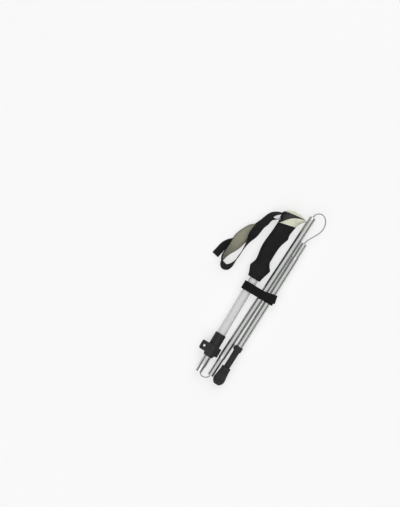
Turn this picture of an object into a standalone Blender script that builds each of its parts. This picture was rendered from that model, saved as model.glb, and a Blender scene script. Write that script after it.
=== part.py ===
"""A folding walking stick, folded: three tubes side by side, joined by a cable.

The stick's own axis is +Y, towards the grip, and the folded tubes lie beside the upper
tube on its +X side. The folded bundle lies flat, so every hinge axis of the folds is Z.
Each folding section is drawn in its unfolded direction, with its ferrule at the +Y end,
and its fold angle lays it back beside the section above it.
"""

import math

import bmesh
import bpy
import numpy as np
from mathutils import Matrix, Vector

# The outlines read off the stick are written in millimetres, and everything else in metres
MM = 0.001

# Fits
SLIDE_GAP = 0.0003
SEAT_GAP = 0.0003
MOUTH_CLEARANCE = 0.001
CUT_MARGIN = 0.002

# Tubes, each one a millimetre smaller in radius than the one it slides in
UPPER_TUBE_RADIUS = 0.009
TUBE_WALL = 0.0007
ADJUSTING_TUBE_RADIUS = UPPER_TUBE_RADIUS - TUBE_WALL - SLIDE_GAP
LOCKING_TUBE_RADIUS = ADJUSTING_TUBE_RADIUS - TUBE_WALL - SLIDE_GAP
FOLDING_TUBE_RADIUS = LOCKING_TUBE_RADIUS
FERRULE_RADIUS = LOCKING_TUBE_RADIUS - TUBE_WALL - SLIDE_GAP
FERRULE_WALL = 0.001
FERRULE_GRIP_LENGTH = 0.035
TUBE_STEPS = 32
ALONG_Y = (-math.pi / 2, 0.0, 0.0)

# Stations along the upper tube, measured from the mouth of the locking tube
LOCKING_STUB = 0.013
CLAMP_BOTTOM = 0.035
CLAMP_LENGTH = 0.051
UPPER_TUBE_BOTTOM = CLAMP_BOTTOM + 0.027
UPPER_TUBE_TOP = 0.330
LOCKING_TUBE_LENGTH = 0.165

# Folding sections, in millimetre-true lengths along their own axes
MIDDLE_FERRULE_LENGTH = 0.040
MIDDLE_SECTION_LENGTH = 0.369
LOWER_FERRULE_LENGTH = 0.032
LOWER_TUBE_END = 0.246
MIDDLE_FOLD_ANGLE = math.radians(177.9)
LOWER_FOLD_ANGLE = math.radians(179.15)
MIDDLE_FOLD_OFFSET = 0.01175
LOWER_FOLD_OFFSET = 0.006815
MIDDLE_FOLD_REACH = 0.00325
LOWER_FOLD_REACH = 0.0265

# Cable
CABLE_RADIUS = 0.00125
CABLE_HOLE_RADIUS = CABLE_RADIUS + SLIDE_GAP
CABLE_POINT_STEP = 0.006
CABLE_STOP_LENGTH = 0.007
CABLE_STOP_RADIUS = 0.0032
CABLE_SPLIT = 0.026
FERRULE_BEND_DEPTH = 0.0025
LOOP_START = 0.089
BUSH_LENGTH = 0.018
BUSH_FLANGE = 0.003

# Flip lock
COLLAR_RADIUS = 0.0112
COLLAR_CHAMFER = 0.0007
COLLAR_TAPER = 0.005
COLLAR_FOOT_RADIUS = 0.0093
LUG_REACH = 0.0245
LUG_BOTTOM = CLAMP_BOTTOM + 0.006
LUG_TOP = LUG_BOTTOM + 0.0187
LUG_THICKNESS = 0.004
LUG_ROUNDING = 0.0035
SPLIT_WIDTH = 0.002
SCREW_X = -0.0165
SCREW_RADIUS = 0.002
NUT_RADIUS = 0.0045
NUT_THICKNESS = 0.004
LEVER_PIN_RADIUS = 0.0026
LEVER_CAM_RADIUS = 0.0042
LEVER_CAM_LIFT = 0.0006
LEVER_THICKNESS = 0.0029
LEVER_CLEARANCE = 0.0005
LEVER_SLOT_WIDTH = 0.005
LEVER_SLOT_RADIUS = 0.0047
LEVER_TIP_X = 0.0168

# Grip and head
GRIP_BOTTOM = UPPER_TUBE_TOP - 0.118
GRIP_BORE_GAP = 0.0003
GRIP_RINGS = 26
GRIP_STEPS = 28
GRIP_SQUARENESS = 2.4
HEAD_GAP = 0.0003
HEAD_PLUG_LENGTH = 0.014
HEAD_SQUARENESS = 2.2
BEAK_STATION = UPPER_TUBE_TOP + 0.0283
BEAK_CLEARANCE = 0.00076

# The adjusting tube is as long as the room below the head's plug allows
PARK_CLEARANCE = 0.0054
CABLE_STOP_TOP = UPPER_TUBE_TOP - HEAD_PLUG_LENGTH - PARK_CLEARANCE
ADJUSTING_TUBE_TOP = CABLE_STOP_TOP - CABLE_STOP_LENGTH - BUSH_FLANGE - 2.0 * SEAT_GAP

# Strap
STRAP_WIDTH = 0.018
STRAP_THICKNESS = 0.0016
STRAP_STEP = 0.004
LINING_WIDTH = 0.024
LINING_THICKNESS = 0.002
LINING_FIRST_ROW = 23
LINING_LAST_ROW = 34
LINING_TAPER = 0.010
LINING_TAPER_FRAMES = 4
TAIL_WIDTH = 0.015
STRAP_PIN = (-0.0045, UPPER_TUBE_TOP + 0.022)
STRAP_PIN_RADIUS = 0.0015
STRAP_PIN_LENGTH = 0.0235

# Tube band
BAND_WIDTH = 0.0173
BAND_STATION = GRIP_BOTTOM - 0.01065 - BAND_WIDTH / 2.0
BAND_THICKNESS = 0.0022
BAND_CLEARANCE = 0.0006
BAND_SLACK = 0.0017
BAND_END_LENGTH = 0.034
BAND_END_THICKNESS = 0.0016
BAND_END_SPARE = 0.0116
BAND_END_RISE = 0.0058
BAND_END_ANGLE = math.radians(12.0)

# Snap button
BUTTON_RADIUS = 0.0024
LEAF_LENGTH = 0.030
LEAF_OVERHANG = 0.004
LEAF_WIDTH = 0.005
LEAF_THICKNESS = 0.0005
LEAF_TOP = LOCKING_TUBE_LENGTH - BUSH_LENGTH - 0.001
BUTTON_STATION = LEAF_TOP - LEAF_LENGTH + LEAF_OVERHANG

# Tip holder and foot
HOLDER_COLLAR_RADIUS = 0.0082
HOLDER_COLLAR_LENGTH = 0.012
HOLDER_CUP_DEPTH = 0.008
HOLDER_LUG_REACH = 0.0100
HOLDER_LUG_WIDTH = 0.005
HOLDER_LUG_LENGTH = 0.0075
HOLDER_NECK_RADIUS = 0.0061
HOLDER_NECK_LENGTH = 0.035
HOLDER_SPIGOT_RADIUS = 0.005
HOLDER_SPIGOT_LENGTH = 0.015
STEEL_TIP_RADIUS = 0.003
STEEL_TIP_LENGTH = 0.011
FOOT_LENGTH = 0.0395
FOOT_TOP_RADIUS = 0.0093
FOOT_RADIUS = 0.0120
FOOT_TREAD_RADIUS = 0.0048

# The row's origin: under the middle of the folded stick, on the surface it lies on
FRAME_CENTRE = Vector((-0.0153, 0.1933, -0.0149))

COLORS = {
    "white_paint": ((0.80, 0.80, 0.79), 0.35, 0.0),
    "polished_aluminium": ((0.72, 0.74, 0.73), 0.22, 1.0),
    "black_foam": ((0.018, 0.017, 0.018), 0.85, 0.0),
    "black_nylon": ((0.026, 0.025, 0.027), 0.5, 0.0),
    "cream_plastic": ((0.74, 0.75, 0.60), 0.45, 0.0),
    "black_webbing": ((0.016, 0.016, 0.017), 0.9, 0.0),
    "khaki_lining": ((0.30, 0.29, 0.22), 0.9, 0.0),
    "steel": ((0.62, 0.62, 0.62), 0.3, 1.0),
    "cable_coating": ((0.55, 0.56, 0.55), 0.5, 0.0),
    "black_rubber": ((0.032, 0.035, 0.031), 0.8, 0.0),
}


def clear_scene():
    """Empty the file without closing it."""
    for old in list(bpy.data.objects):
        bpy.data.objects.remove(old, do_unlink=True)
    for old in list(bpy.data.collections):
        bpy.data.collections.remove(old)


def make_collection(name):
    """A collection under the scene's own."""
    collection = bpy.data.collections.new(name)
    bpy.context.scene.collection.children.link(collection)
    return collection


def make_material(name, color, roughness, metallic):
    """A Principled material in one plain finish."""
    material = bpy.data.materials.new(name)
    material.use_nodes = True
    shader = material.node_tree.nodes["Principled BSDF"]
    shader.inputs["Base Color"].default_value = (*color, 1.0)
    shader.inputs["Roughness"].default_value = roughness
    shader.inputs["Metallic"].default_value = metallic
    return material


def make_pivot(name, parent=None, location=(0.0, 0.0, 0.0), turn=0.0):
    """An empty that carries a moving piece on its joint; turn is about Z."""
    pivot = bpy.data.objects.new(name, None)
    pivot.empty_display_size = 0.01
    pivot.parent = parent
    pivot.location = location
    pivot.rotation_euler = (0.0, 0.0, turn)
    PARTS.objects.link(pivot)
    return pivot


def make_object(name, data, finish, parent, location=(0.0, 0.0, 0.0), rotation=(0.0, 0.0, 0.0)):
    """A named sub-part with its finish, carried by its parent."""
    piece = bpy.data.objects.new(name, data)
    data.materials.append(MATERIALS[finish])
    piece.parent = parent
    piece.location = location
    piece.rotation_euler = rotation
    PARTS.objects.link(piece)
    return piece


def as_cutter(piece):
    """Keep a shape as a cutter: it is shown in wire and isn't a sub-part."""
    PARTS.objects.unlink(piece)
    CUTTERS.objects.link(piece)
    piece.hide_render = True
    piece.display_type = "WIRE"
    return piece


def combine(piece, other, operation):
    """Join a cutter to a piece, or cut it away, or keep what they share."""
    modifier = piece.modifiers.new(operation.lower(), "BOOLEAN")
    modifier.operation = operation
    modifier.solver = "EXACT"
    modifier.object = other


def as_mesh(piece):
    """Turn a curve object into a mesh object with welded caps, in the same place."""
    bpy.context.view_layer.update()
    graph = bpy.context.evaluated_depsgraph_get()
    mesh = bpy.data.meshes.new_from_object(piece.evaluated_get(graph))
    shape = bmesh.new()
    shape.from_mesh(mesh)
    bmesh.ops.remove_doubles(shape, verts=shape.verts, dist=0.00001)
    bmesh.ops.recalc_face_normals(shape, faces=shape.faces)
    shape.to_mesh(mesh)
    shape.free()
    name = piece.name
    piece.name = name + "_curve"
    solid = bpy.data.objects.new(name, mesh)
    for collection in piece.users_collection:
        collection.objects.link(solid)
    solid.parent = piece.parent
    solid.location = piece.location
    solid.rotation_euler = piece.rotation_euler
    bpy.data.objects.remove(piece, do_unlink=True)
    return solid


def turned(name, profile, finish, parent, centre=(0.0, 0.0, 0.0), tilt=ALONG_Y, steps=TUBE_STEPS):
    """A turned piece: (radius, station) points, down the outer side, spun about the axis.

    A profile that starts and ends on the axis is left open; any other is a closed ring.
    The tilt lays the spin axis along +Y, or where it is zero leaves it along Z.
    """
    mesh = bpy.data.meshes.new(name)
    points = [(radius, 0.0, station) for radius, station in profile]
    edges = [(i, i + 1) for i in range(len(points) - 1)]
    if profile[0][0] > 0.0:
        edges.append((len(points) - 1, 0))
    mesh.from_pydata(points, edges, [])
    piece = make_object(name, mesh, finish, parent, centre, tilt)
    screw = piece.modifiers.new("spin", "SCREW")
    screw.axis = "Z"
    screw.angle = 2.0 * math.pi
    screw.steps = steps
    screw.render_steps = steps
    screw.use_merge_vertices = True
    screw.merge_threshold = 0.00001
    return piece


def tube(name, radius, wall, top, bottom, finish, parent):
    """A plain tube along +Y between two stations."""
    profile = [(radius, top), (radius, bottom), (radius - wall, bottom), (radius - wall, top)]
    return turned(name, profile, finish, parent)


def rod(name, radius, top, bottom, finish, parent, centre=(0.0, 0.0, 0.0), tilt=ALONG_Y, steps=24):
    """A plain solid rod between two stations."""
    profile = [(0.0, top), (radius, top), (radius, bottom), (0.0, bottom)]
    return turned(name, profile, finish, parent, centre, tilt, steps)


def block(name, low, high, finish, parent):
    """A plain box between two corners."""
    mesh = bpy.data.meshes.new(name)
    shape = bmesh.new()
    bmesh.ops.create_cube(shape, size=1.0)
    size = Vector(high) - Vector(low)
    bmesh.ops.scale(shape, vec=size, verts=shape.verts)
    bmesh.ops.translate(shape, vec=(Vector(low) + Vector(high)) / 2.0, verts=shape.verts)
    shape.to_mesh(mesh)
    shape.free()
    return make_object(name, mesh, finish, parent)


def prism(name, outlines, depth, finish, parent, location=(0.0, 0.0, 0.0), tilt=(0.0, 0.0, 0.0)):
    """A flat outline, and any holes in it, given a depth to both sides of its plane."""
    curve = bpy.data.curves.new(name, "CURVE")
    curve.dimensions = "2D"
    curve.fill_mode = "BOTH"
    curve.extrude = depth / 2.0
    for outline in outlines:
        spline = curve.splines.new("POLY")
        spline.points.add(len(outline) - 1)
        for point, (x, y) in zip(spline.points, outline):
            point.co = (x, y, 0.0, 1.0)
        spline.use_cyclic_u = True
    return as_mesh(make_object(name, curve, finish, parent, location, tilt))


def arc(centre, radius, start, end, count):
    """Points on an arc, from one angle in degrees to another."""
    angles = np.radians(np.linspace(start, end, count))
    return [(centre[0] + radius * math.cos(a), centre[1] + radius * math.sin(a)) for a in angles]


def smooth_route(route, step):
    """A centripetal curve through a route's points, read at even steps."""
    points = [Vector(p) for p in route]
    points = [2 * points[0] - points[1]] + points + [2 * points[-1] - points[-2]]
    dense = []
    for a, b, c, d in zip(points, points[1:], points[2:], points[3:]):
        knots = [0.0]
        for first, second in ((a, b), (b, c), (c, d)):
            knots.append(knots[-1] + max((second - first).length, 1e-9) ** 0.5)
        t0, t1, t2, t3 = knots
        for t in np.linspace(t1, t2, 12, endpoint=False):
            first = a.lerp(b, (t - t0) / (t1 - t0))
            second = b.lerp(c, (t - t1) / (t2 - t1))
            third = c.lerp(d, (t - t2) / (t3 - t2))
            near = first.lerp(second, (t - t0) / (t2 - t0))
            far = second.lerp(third, (t - t1) / (t3 - t1))
            dense.append(near.lerp(far, (t - t1) / (t2 - t1)))
    dense.append(points[-2])
    line = np.array(dense)
    run = np.concatenate([[0.0], np.cumsum(np.linalg.norm(np.diff(line, axis=0), axis=1))])
    stops = np.linspace(0.0, run[-1], max(2, round(run[-1] / step) + 1))
    return np.column_stack([np.interp(stops, run, line[:, k]) for k in range(3)])


def cable(name, points, parent):
    """A round cable along points, in the stick's own frame."""
    curve = bpy.data.curves.new(name, "CURVE")
    curve.dimensions = "3D"
    curve.bevel_depth = CABLE_RADIUS
    curve.bevel_resolution = 2
    curve.use_fill_caps = True
    spline = curve.splines.new("POLY")
    spline.points.add(len(points) - 1)
    for point, place in zip(spline.points, points):
        point.co = (*place, 1.0)
    piece = make_object(name, curve, "cable_coating", parent)
    piece.matrix_parent_inverse = world_of(parent).inverted()
    return piece


def world_of(pivot):
    """A pivot's place in the stick's own frame."""
    bpy.context.view_layer.update()
    return STICK.matrix_world.inverted() @ pivot.matrix_world


def read_route(route):
    """Even places and rolls along a route, and each row's index.

    A row is (x, y, z, roll), in millimetres from the upper tube's top end, and degrees.
    """
    rows = np.array(route)
    knots = rows[:, :3] * MM + np.array([0.0, UPPER_TUBE_TOP, 0.0])
    places = smooth_route(knots, STRAP_STEP)
    marks = [int(np.linalg.norm(places - knot, axis=1).argmin()) for knot in knots]
    rolls = np.interp(np.arange(len(places)), marks, np.radians(rows[:, 3]))
    return places, rolls, marks


def strip_frames(places, rolls, closed=False):
    """Places, outer faces and widthwise directions of a flat strip.

    At a roll of 0 the strip's outer face looks up, and at 90 degrees it looks to the right
    of the way it runs.
    """
    if closed:
        along = np.roll(places, -1, axis=0) - np.roll(places, 1, axis=0)
    else:
        along = np.gradient(places, axis=0)
    along /= np.linalg.norm(along, axis=1)[:, None]
    side = np.cross(along, (0.0, 0.0, 1.0))
    side /= np.linalg.norm(side, axis=1)[:, None]
    lift = np.cross(side, along)
    face = lift * np.cos(rolls)[:, None] + side * np.sin(rolls)[:, None]
    return places, face, np.cross(face, along)


def ribbon(name, frames, width, thickness, offset, finish, closed=False):
    """A flat strap through frames, moved off them along its outer face.

    The width is one value, or one for each frame.
    """
    places, face, across = frames
    corners = [(-0.5, 0.5), (0.5, 0.5), (0.5, -0.5), (-0.5, -0.5)]
    middles = places + face * offset
    sides = across * np.broadcast_to(width, len(places))[:, None]
    rings = []
    for middle, normal, side in zip(middles, face, sides):
        rings.append([middle + side * u + normal * thickness * v for u, v in corners])
    return loft(name, rings, finish, STICK, closed)


def oval_ring(left, right, half_depth, squareness, steps):
    """An oval section between two ends, as rows of (x, z)."""
    turn = np.linspace(0.0, 2.0 * math.pi, steps, endpoint=False)
    power = 2.0 / squareness
    across = np.sign(np.cos(turn)) * np.abs(np.cos(turn)) ** power
    deep = np.sign(np.sin(turn)) * np.abs(np.sin(turn)) ** power
    return (left + right) / 2.0 + (right - left) / 2.0 * across, half_depth * deep


def loft(name, rings, finish, parent, closed_loop=False):
    """A skin over rings of points; the ends are capped, or the last ring meets the first."""
    mesh = bpy.data.meshes.new(name)
    shape = bmesh.new()
    made = [[shape.verts.new(point) for point in ring] for ring in rings]
    pairs = list(zip(made, made[1:]))
    if closed_loop:
        pairs.append((made[-1], made[0]))
    else:
        shape.faces.new(made[0])
        shape.faces.new(made[-1][::-1])
    for ring, following in pairs:
        count = len(ring)
        for i in range(count):
            j = (i + 1) % count
            shape.faces.new((ring[i], ring[j], following[j], following[i]))
    bmesh.ops.recalc_face_normals(shape, faces=shape.faces)
    shape.to_mesh(mesh)
    shape.free()
    return make_object(name, mesh, finish, parent)


def make_upper_tube():
    """The white tube, glued in the grip and in the flip lock's collar."""
    tube("upper_tube", UPPER_TUBE_RADIUS, TUBE_WALL, UPPER_TUBE_TOP, UPPER_TUBE_BOTTOM, "white_paint", STICK)


def grip_stations():
    """The grip's outline: station, left, right, half depth and slope of each section."""
    rows = np.array([
        (0.0, -14.0, 12.4, 12.2, 0.00),
        (5.0, -15.2, 13.1, 13.0, 0.00),
        (14.0, -18.6, 15.5, 14.2, 0.00),
        (21.5, -21.1, 17.8, 14.9, 0.02),
        (27.5, -19.2, 19.1, 14.8, 0.03),
        (34.0, -17.0, 14.6, 13.8, 0.03),
        (41.5, -17.2, 10.8, 13.0, 0.02),
        (52.0, -19.0, 10.2, 13.2, 0.02),
        (63.0, -20.4, 10.2, 13.8, 0.03),
        (74.0, -20.5, 10.8, 14.1, 0.05),
        (84.0, -19.7, 12.7, 14.0, 0.08),
        (92.0, -19.0, 15.6, 13.7, 0.11),
        (97.0, -18.6, 17.4, 13.5, 0.14),
        (104.0, -18.1, 15.8, 13.2, 0.18),
        (112.0, -17.7, 16.3, 13.2, 0.22),
        (123.2, -17.2, 18.4, 13.4, 0.246),
    ])
    rows[:, :4] *= MM
    rows[:, 0] += GRIP_BOTTOM
    return rows


def make_foam_grip():
    """The foam grip: ovals along the outline, round a straight bore for the upper tube."""
    rows = grip_stations()
    knots = np.linspace(0.0, len(rows) - 1.0, GRIP_RINGS)
    turn = np.linspace(0.0, 2.0 * math.pi, GRIP_STEPS, endpoint=False)
    bore = UPPER_TUBE_RADIUS + GRIP_BORE_GAP
    outside = []
    inside = []
    for knot in knots:
        station, left, right, depth, slope = (
            np.interp(knot, np.arange(len(rows)), rows[:, k]) for k in range(5)
        )
        x, z = oval_ring(left, right, depth, GRIP_SQUARENESS, GRIP_STEPS)
        outside.append(np.column_stack([x, station + slope * x, z]))
    for row in (rows[-1], rows[0]):
        x, z = bore * np.cos(turn), bore * np.sin(turn)
        inside.append(np.column_stack([x, row[0] + row[4] * x, z]))
    return loft("foam_grip", outside + inside, "black_foam", STICK, closed_loop=True)


def folded_side(section, station):
    """How far the left side of a folded tube is from the stick's axis, at a station."""
    place = world_of(section)
    along = (station - place.translation.y) / place.col[1].y
    return place.translation.x + along * place.col[1].x - FOLDING_TUBE_RADIUS


def head_form(name, finish, beak):
    """The whole rounded head, which its three pieces are cut from.

    Each row has its left side, its right side as a share of the beak, the stations of
    both, and its half depth.
    """
    rows = [
        (-17.2, 0.6389, 1.5, 10.1, 13.3),
        (-18.2, 0.7118, 8.5, 16.8, 14.0),
        (-19.6, 0.8611, 16.0, 23.5, 14.2),
        (-19.6, 1.0000, 22.0, 28.3, 13.6),
        (-16.5, 0.9444, 27.8, 31.8, 11.8),
        (-10.0, 0.7118, 32.2, 34.8, 8.2),
        (-2.0, 0.4167, 35.2, 36.2, 3.5),
    ]
    rings = []
    for left, share, left_station, right_station, depth in rows:
        left *= MM
        right = share * beak
        x, z = oval_ring(left, right, depth * MM, HEAD_SQUARENESS, GRIP_STEPS)
        rise = (right_station - left_station) * (x - left) / (right - left)
        y = UPPER_TUBE_TOP + HEAD_GAP + (left_station + rise) * MM
        rings.append(np.column_stack([x, y, z]))
    return loft(name, rings, finish, STICK)


def from_tube_top(rows):
    """An outline in millimetres from the upper tube's top end, in the stick's own frame."""
    return [(x * MM, UPPER_TUBE_TOP + y * MM) for x, y in rows]


def base_crest():
    """The upper edge of the head base, seen from the front."""
    return from_tube_top([
        (-24.0, -8.5), (-14.0, 2.8), (-10.0, 7.2), (-5.0, 13.6), (0.0, 19.0), (5.0, 22.8),
        (10.0, 25.8), (16.0, 28.4), (22.5, 30.2), (38.0, 31.6),
    ])


def cap_edge():
    """The lower edge of the head cap, seen from the front."""
    return from_tube_top([
        (38.0, 32.2), (23.0, 31.6), (16.0, 31.2), (8.0, 30.4), (0.0, 29.4), (-9.0, 28.0),
        (-16.0, 26.6), (-26.0, 24.0),
    ])


def head_region(name, outline):
    """A deep slab of the head, as a cutter."""
    return as_cutter(prism(name, [outline], 0.05, "cream_plastic", STICK))


def shifted(points, dy):
    """An outline moved along the stick."""
    return [(x, y + dy) for x, y in points]


def make_head(beak):
    """The head: a cream base with its beak, the black strap wedge and the cream cap."""
    base = head_form("head_base", "cream_plastic", beak)
    crest = base_crest()
    edge = cap_edge()
    below = from_tube_top([(38.0, -20.0), (-24.0, -20.0)])
    combine(base, head_region("base_region", below + crest), "INTERSECT")
    plug_radius = UPPER_TUBE_RADIUS - TUBE_WALL - SEAT_GAP
    plug_top = UPPER_TUBE_TOP + HEAD_PLUG_LENGTH / 2.0
    plug_bottom = UPPER_TUBE_TOP - HEAD_PLUG_LENGTH
    plug = rod("head_plug", plug_radius, plug_top, plug_bottom, "cream_plastic", STICK)
    combine(base, as_cutter(plug), "UNION")

    wedge = head_form("strap_wedge", "black_nylon", beak)
    lower = [point for point in shifted(crest, HEAD_GAP) if point[0] < crest[-1][0]]
    upper = [point for point in shifted(edge, -HEAD_GAP) if point[0] < edge[0][0]]
    combine(wedge, head_region("wedge_region", lower + upper), "INTERSECT")

    cap = head_form("head_cap", "cream_plastic", beak)
    above = from_tube_top([(-26.0, 50.0), (38.0, 50.0)])
    combine(cap, head_region("cap_region", edge + above), "INTERSECT")
    return wedge


def strap_route():
    """The strap's loop, out of the head's upper slot and back into the lower one."""
    return [
        (-4.951, 24.56, 0.0, 90), (-12.0, 23.317, 0.0, 90), (-16.5, 22.0, 0.0, 86),
        (-20.5, 19.6, 0.2, 80), (-25.0, 16.9, 0.6, 72), (-30.0, 13.1, 1.2, 66), (-34.2, 8.0, 2.0, 56),
        (-36.8, 1.7, 2.8, 46), (-38.9, -5.0, 3.1, 42), (-40.8, -12.0, 3.3, 37),
        (-42.7, -19.5, 3.5, 25), (-44.2, -27.0, 3.5, 11), (-45.2, -34.5, 3.3, -2),
        (-46.1, -42.0, 2.8, -16), (-47.0, -50.0, 2.0, -38), (-47.6, -59.0, 1.0, -63),
        (-47.8, -68.0, 0.3, -79), (-48.1, -77.0, -0.2, -86), (-48.5, -88.0, -0.7, -90),
        (-49.5, -101.0, -1.2, -90), (-50.8, -111.0, -1.6, -80), (-53.4, -119.7, -1.9, -64),
        (-58.0, -125.8, -2.1, -52), (-63.8, -127.6, -2.2, -54), (-69.4, -125.3, -2.3, -70),
        (-73.8, -119.4, -2.4, -92), (-75.4, -109.5, -2.6, -108), (-73.4, -97.5, -3.5, -120),
        (-69.6, -85.5, -5.0, -138), (-66.4, -74.0, -6.8, -160), (-63.8, -63.5, -8.0, -178),
        (-59.8, -53.0, -8.0, -182), (-54.8, -43.5, -8.0, -184), (-49.6, -35.0, -7.9, -187),
        (-45.4, -26.5, -7.7, -192), (-42.0, -18.0, -7.3, -199), (-38.2, -10.2, -6.6, -210),
        (-33.8, -3.8, -5.4, -230), (-29.2, 0.4, -3.7, -252), (-25.0, 3.0, -1.9, -265),
        (-21.3, 5.575, -0.6, -269), (-17.5, 8.543, 0.0, -270), (-12.0, 12.84, 0.0, -270),
        (-2.899, 19.951, 0.0, -270),
    ]


def tail_route():
    """The strap's loose end, which comes out from behind the lining."""
    return [
        (-58.5, -52.0, -10.0, 0), (-61.3, -61.5, -10.3, 0), (-65.8, -70.0, -11.2, 0),
        (-72.3, -76.5, -11.8, 0), (-79.3, -83.5, -12.2, 0), (-84.3, -92.0, -12.4, 0),
        (-86.8, -102.5, -12.6, 0), (-89.8, -116.8, -12.6, 0),
    ]


def make_strap(wedge):
    """The wrist strap: one webbing loop round a pin in the wedge, its lining and loose tail."""
    places, rolls, marks = read_route(strap_route())
    turn = STRAP_PIN_RADIUS + SEAT_GAP + STRAP_THICKNESS / 2.0
    back = [(x, y, 0.0) for x, y in arc(STRAP_PIN, turn, -52, 100, 10)[1:-1]]
    loop = np.concatenate([places, back])
    loop_rolls = np.concatenate([rolls, np.full(len(back), math.radians(90.0))])
    frames = strip_frames(loop, loop_rolls, closed=True)
    ribbon("strap_webbing", frames, STRAP_WIDTH, STRAP_THICKNESS, 0.0, "black_webbing", closed=True)
    gap = 2.0 * SEAT_GAP
    slot = ribbon("strap_slot", frames, STRAP_WIDTH + gap, STRAP_THICKNESS + gap, 0.0,
                  "black_webbing", closed=True)
    combine(wedge, as_cutter(slot), "DIFFERENCE")

    first, last = marks[LINING_FIRST_ROW], marks[LINING_LAST_ROW] + 1
    lined = [values[first:last] for values in frames]
    lining_offset = -(STRAP_THICKNESS + LINING_THICKNESS) / 2.0 - SEAT_GAP
    inward = np.minimum(np.arange(last - first), np.arange(last - first)[::-1]) / LINING_TAPER_FRAMES
    widths = LINING_WIDTH - LINING_TAPER * np.clip(1.0 - inward, 0.0, 1.0) ** 2
    ribbon("strap_lining", lined, widths, LINING_THICKNESS, lining_offset, "khaki_lining")
    places, rolls, marks = read_route(tail_route())
    ribbon("strap_tail", strip_frames(places, rolls), TAIL_WIDTH, STRAP_THICKNESS, 0.0, "black_webbing")

    centre = (*STRAP_PIN, 0.0)
    half = STRAP_PIN_LENGTH / 2.0
    hole = rod("pin_hole", STRAP_PIN_RADIUS + SEAT_GAP, half + SEAT_GAP, -half - SEAT_GAP,
               "steel", STICK, centre, (0.0, 0.0, 0.0))
    combine(wedge, as_cutter(hole), "DIFFERENCE")
    rod("strap_pin", STRAP_PIN_RADIUS, half, -half, "steel", STICK, centre, (0.0, 0.0, 0.0))


def make_clamp_collar():
    """The flip lock's collar: a sleeve glued on the upper tube and split below it."""
    top = CLAMP_BOTTOM + CLAMP_LENGTH
    wide_bore = UPPER_TUBE_RADIUS + SEAT_GAP
    narrow_bore = ADJUSTING_TUBE_RADIUS + SLIDE_GAP
    shoulder = UPPER_TUBE_BOTTOM - SEAT_GAP
    profile = [
        (COLLAR_RADIUS - COLLAR_CHAMFER, top), (COLLAR_RADIUS, top - COLLAR_CHAMFER),
        (COLLAR_RADIUS, CLAMP_BOTTOM + COLLAR_TAPER), (COLLAR_FOOT_RADIUS, CLAMP_BOTTOM),
        (narrow_bore, CLAMP_BOTTOM), (narrow_bore, shoulder), (wide_bore, shoulder), (wide_bore, top),
    ]
    collar = turned("clamp_collar", profile, "black_nylon", STICK, steps=40)

    r = LUG_ROUNDING
    low = (-LUG_REACH + r, LUG_BOTTOM + r)
    high = (-LUG_REACH + r, LUG_TOP - r)
    root = -ADJUSTING_TUBE_RADIUS + SEAT_GAP
    outline = [(root, LUG_TOP)] + arc(high, r, 90, 180, 6) + arc(low, r, 180, 270, 6)
    outline = outline + [(root, LUG_BOTTOM)]
    depth = SPLIT_WIDTH + 2.0 * LUG_THICKNESS
    lugs = prism("lugs", [outline], depth, "black_nylon", STICK)
    combine(collar, as_cutter(lugs), "UNION")

    below = CLAMP_BOTTOM - CUT_MARGIN
    bore = rod("collar_bore", narrow_bore, shoulder, below, "black_nylon", STICK, steps=40)
    combine(collar, as_cutter(bore), "DIFFERENCE")
    half = SPLIT_WIDTH / 2.0
    split = block("collar_split", (-LUG_REACH - CUT_MARGIN, below, -half),
                  (-narrow_bore / 2.0, LUG_TOP + COLLAR_CHAMFER, half), "black_nylon", STICK)
    combine(collar, as_cutter(split), "DIFFERENCE")
    through = lug_face() + CUT_MARGIN
    hole = rod("screw_hole", SCREW_RADIUS + SLIDE_GAP, through, -through, "steel", STICK,
               screw_place(), (0.0, 0.0, 0.0))
    combine(collar, as_cutter(hole), "DIFFERENCE")


def screw_place():
    """Where the tension screw crosses the split, between the two lugs."""
    return (SCREW_X, (LUG_BOTTOM + LUG_TOP) / 2.0, 0.0)


def lug_face():
    """How far each lug's outer face is from the split's middle."""
    return SPLIT_WIDTH / 2.0 + LUG_THICKNESS


def lever_pin_height():
    """The barrel pin's height: the closed cam just presses the front lug."""
    return lug_face() + SEAT_GAP + LEVER_CAM_RADIUS


def make_tension_parts():
    """The barrel pin, the screw that pulls it, and the nut behind the back lug."""
    x, y, _ = screw_place()
    height = lever_pin_height()
    half = (LUG_TOP - LUG_BOTTOM) / 2.0 - 0.0004
    pin = rod("lever_pin", LEVER_PIN_RADIUS, half, -half, "steel", STICK, (x, y, height))
    through = LEVER_PIN_RADIUS + CUT_MARGIN
    hole = rod("pin_cross_hole", SCREW_RADIUS + SLIDE_GAP, through, -through, "steel", STICK,
               (x, y, height), (0.0, 0.0, 0.0))
    combine(pin, as_cutter(hole), "DIFFERENCE")
    screw_top = height + LEVER_PIN_RADIUS + 0.0006
    nut_top = -lug_face() - SEAT_GAP
    nut_bottom = nut_top - NUT_THICKNESS
    screw = [(0.0, screw_top), (SCREW_RADIUS - 0.0004, screw_top), (SCREW_RADIUS, screw_top - 0.0004),
             (SCREW_RADIUS, nut_bottom - 0.0005), (0.0, nut_bottom - 0.0005)]
    turned("tension_screw", screw, "steel", STICK, (x, y, 0.0), (0.0, 0.0, 0.0), 20)
    inner = SCREW_RADIUS + SLIDE_GAP
    nut = [(NUT_RADIUS, nut_top), (NUT_RADIUS, nut_bottom + 0.0006), (NUT_RADIUS - 0.0006, nut_bottom),
           (inner, nut_bottom), (inner, nut_top)]
    turned("tension_nut", nut, "steel", STICK, (x, y, 0.0), (0.0, 0.0, 0.0), 24)


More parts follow.
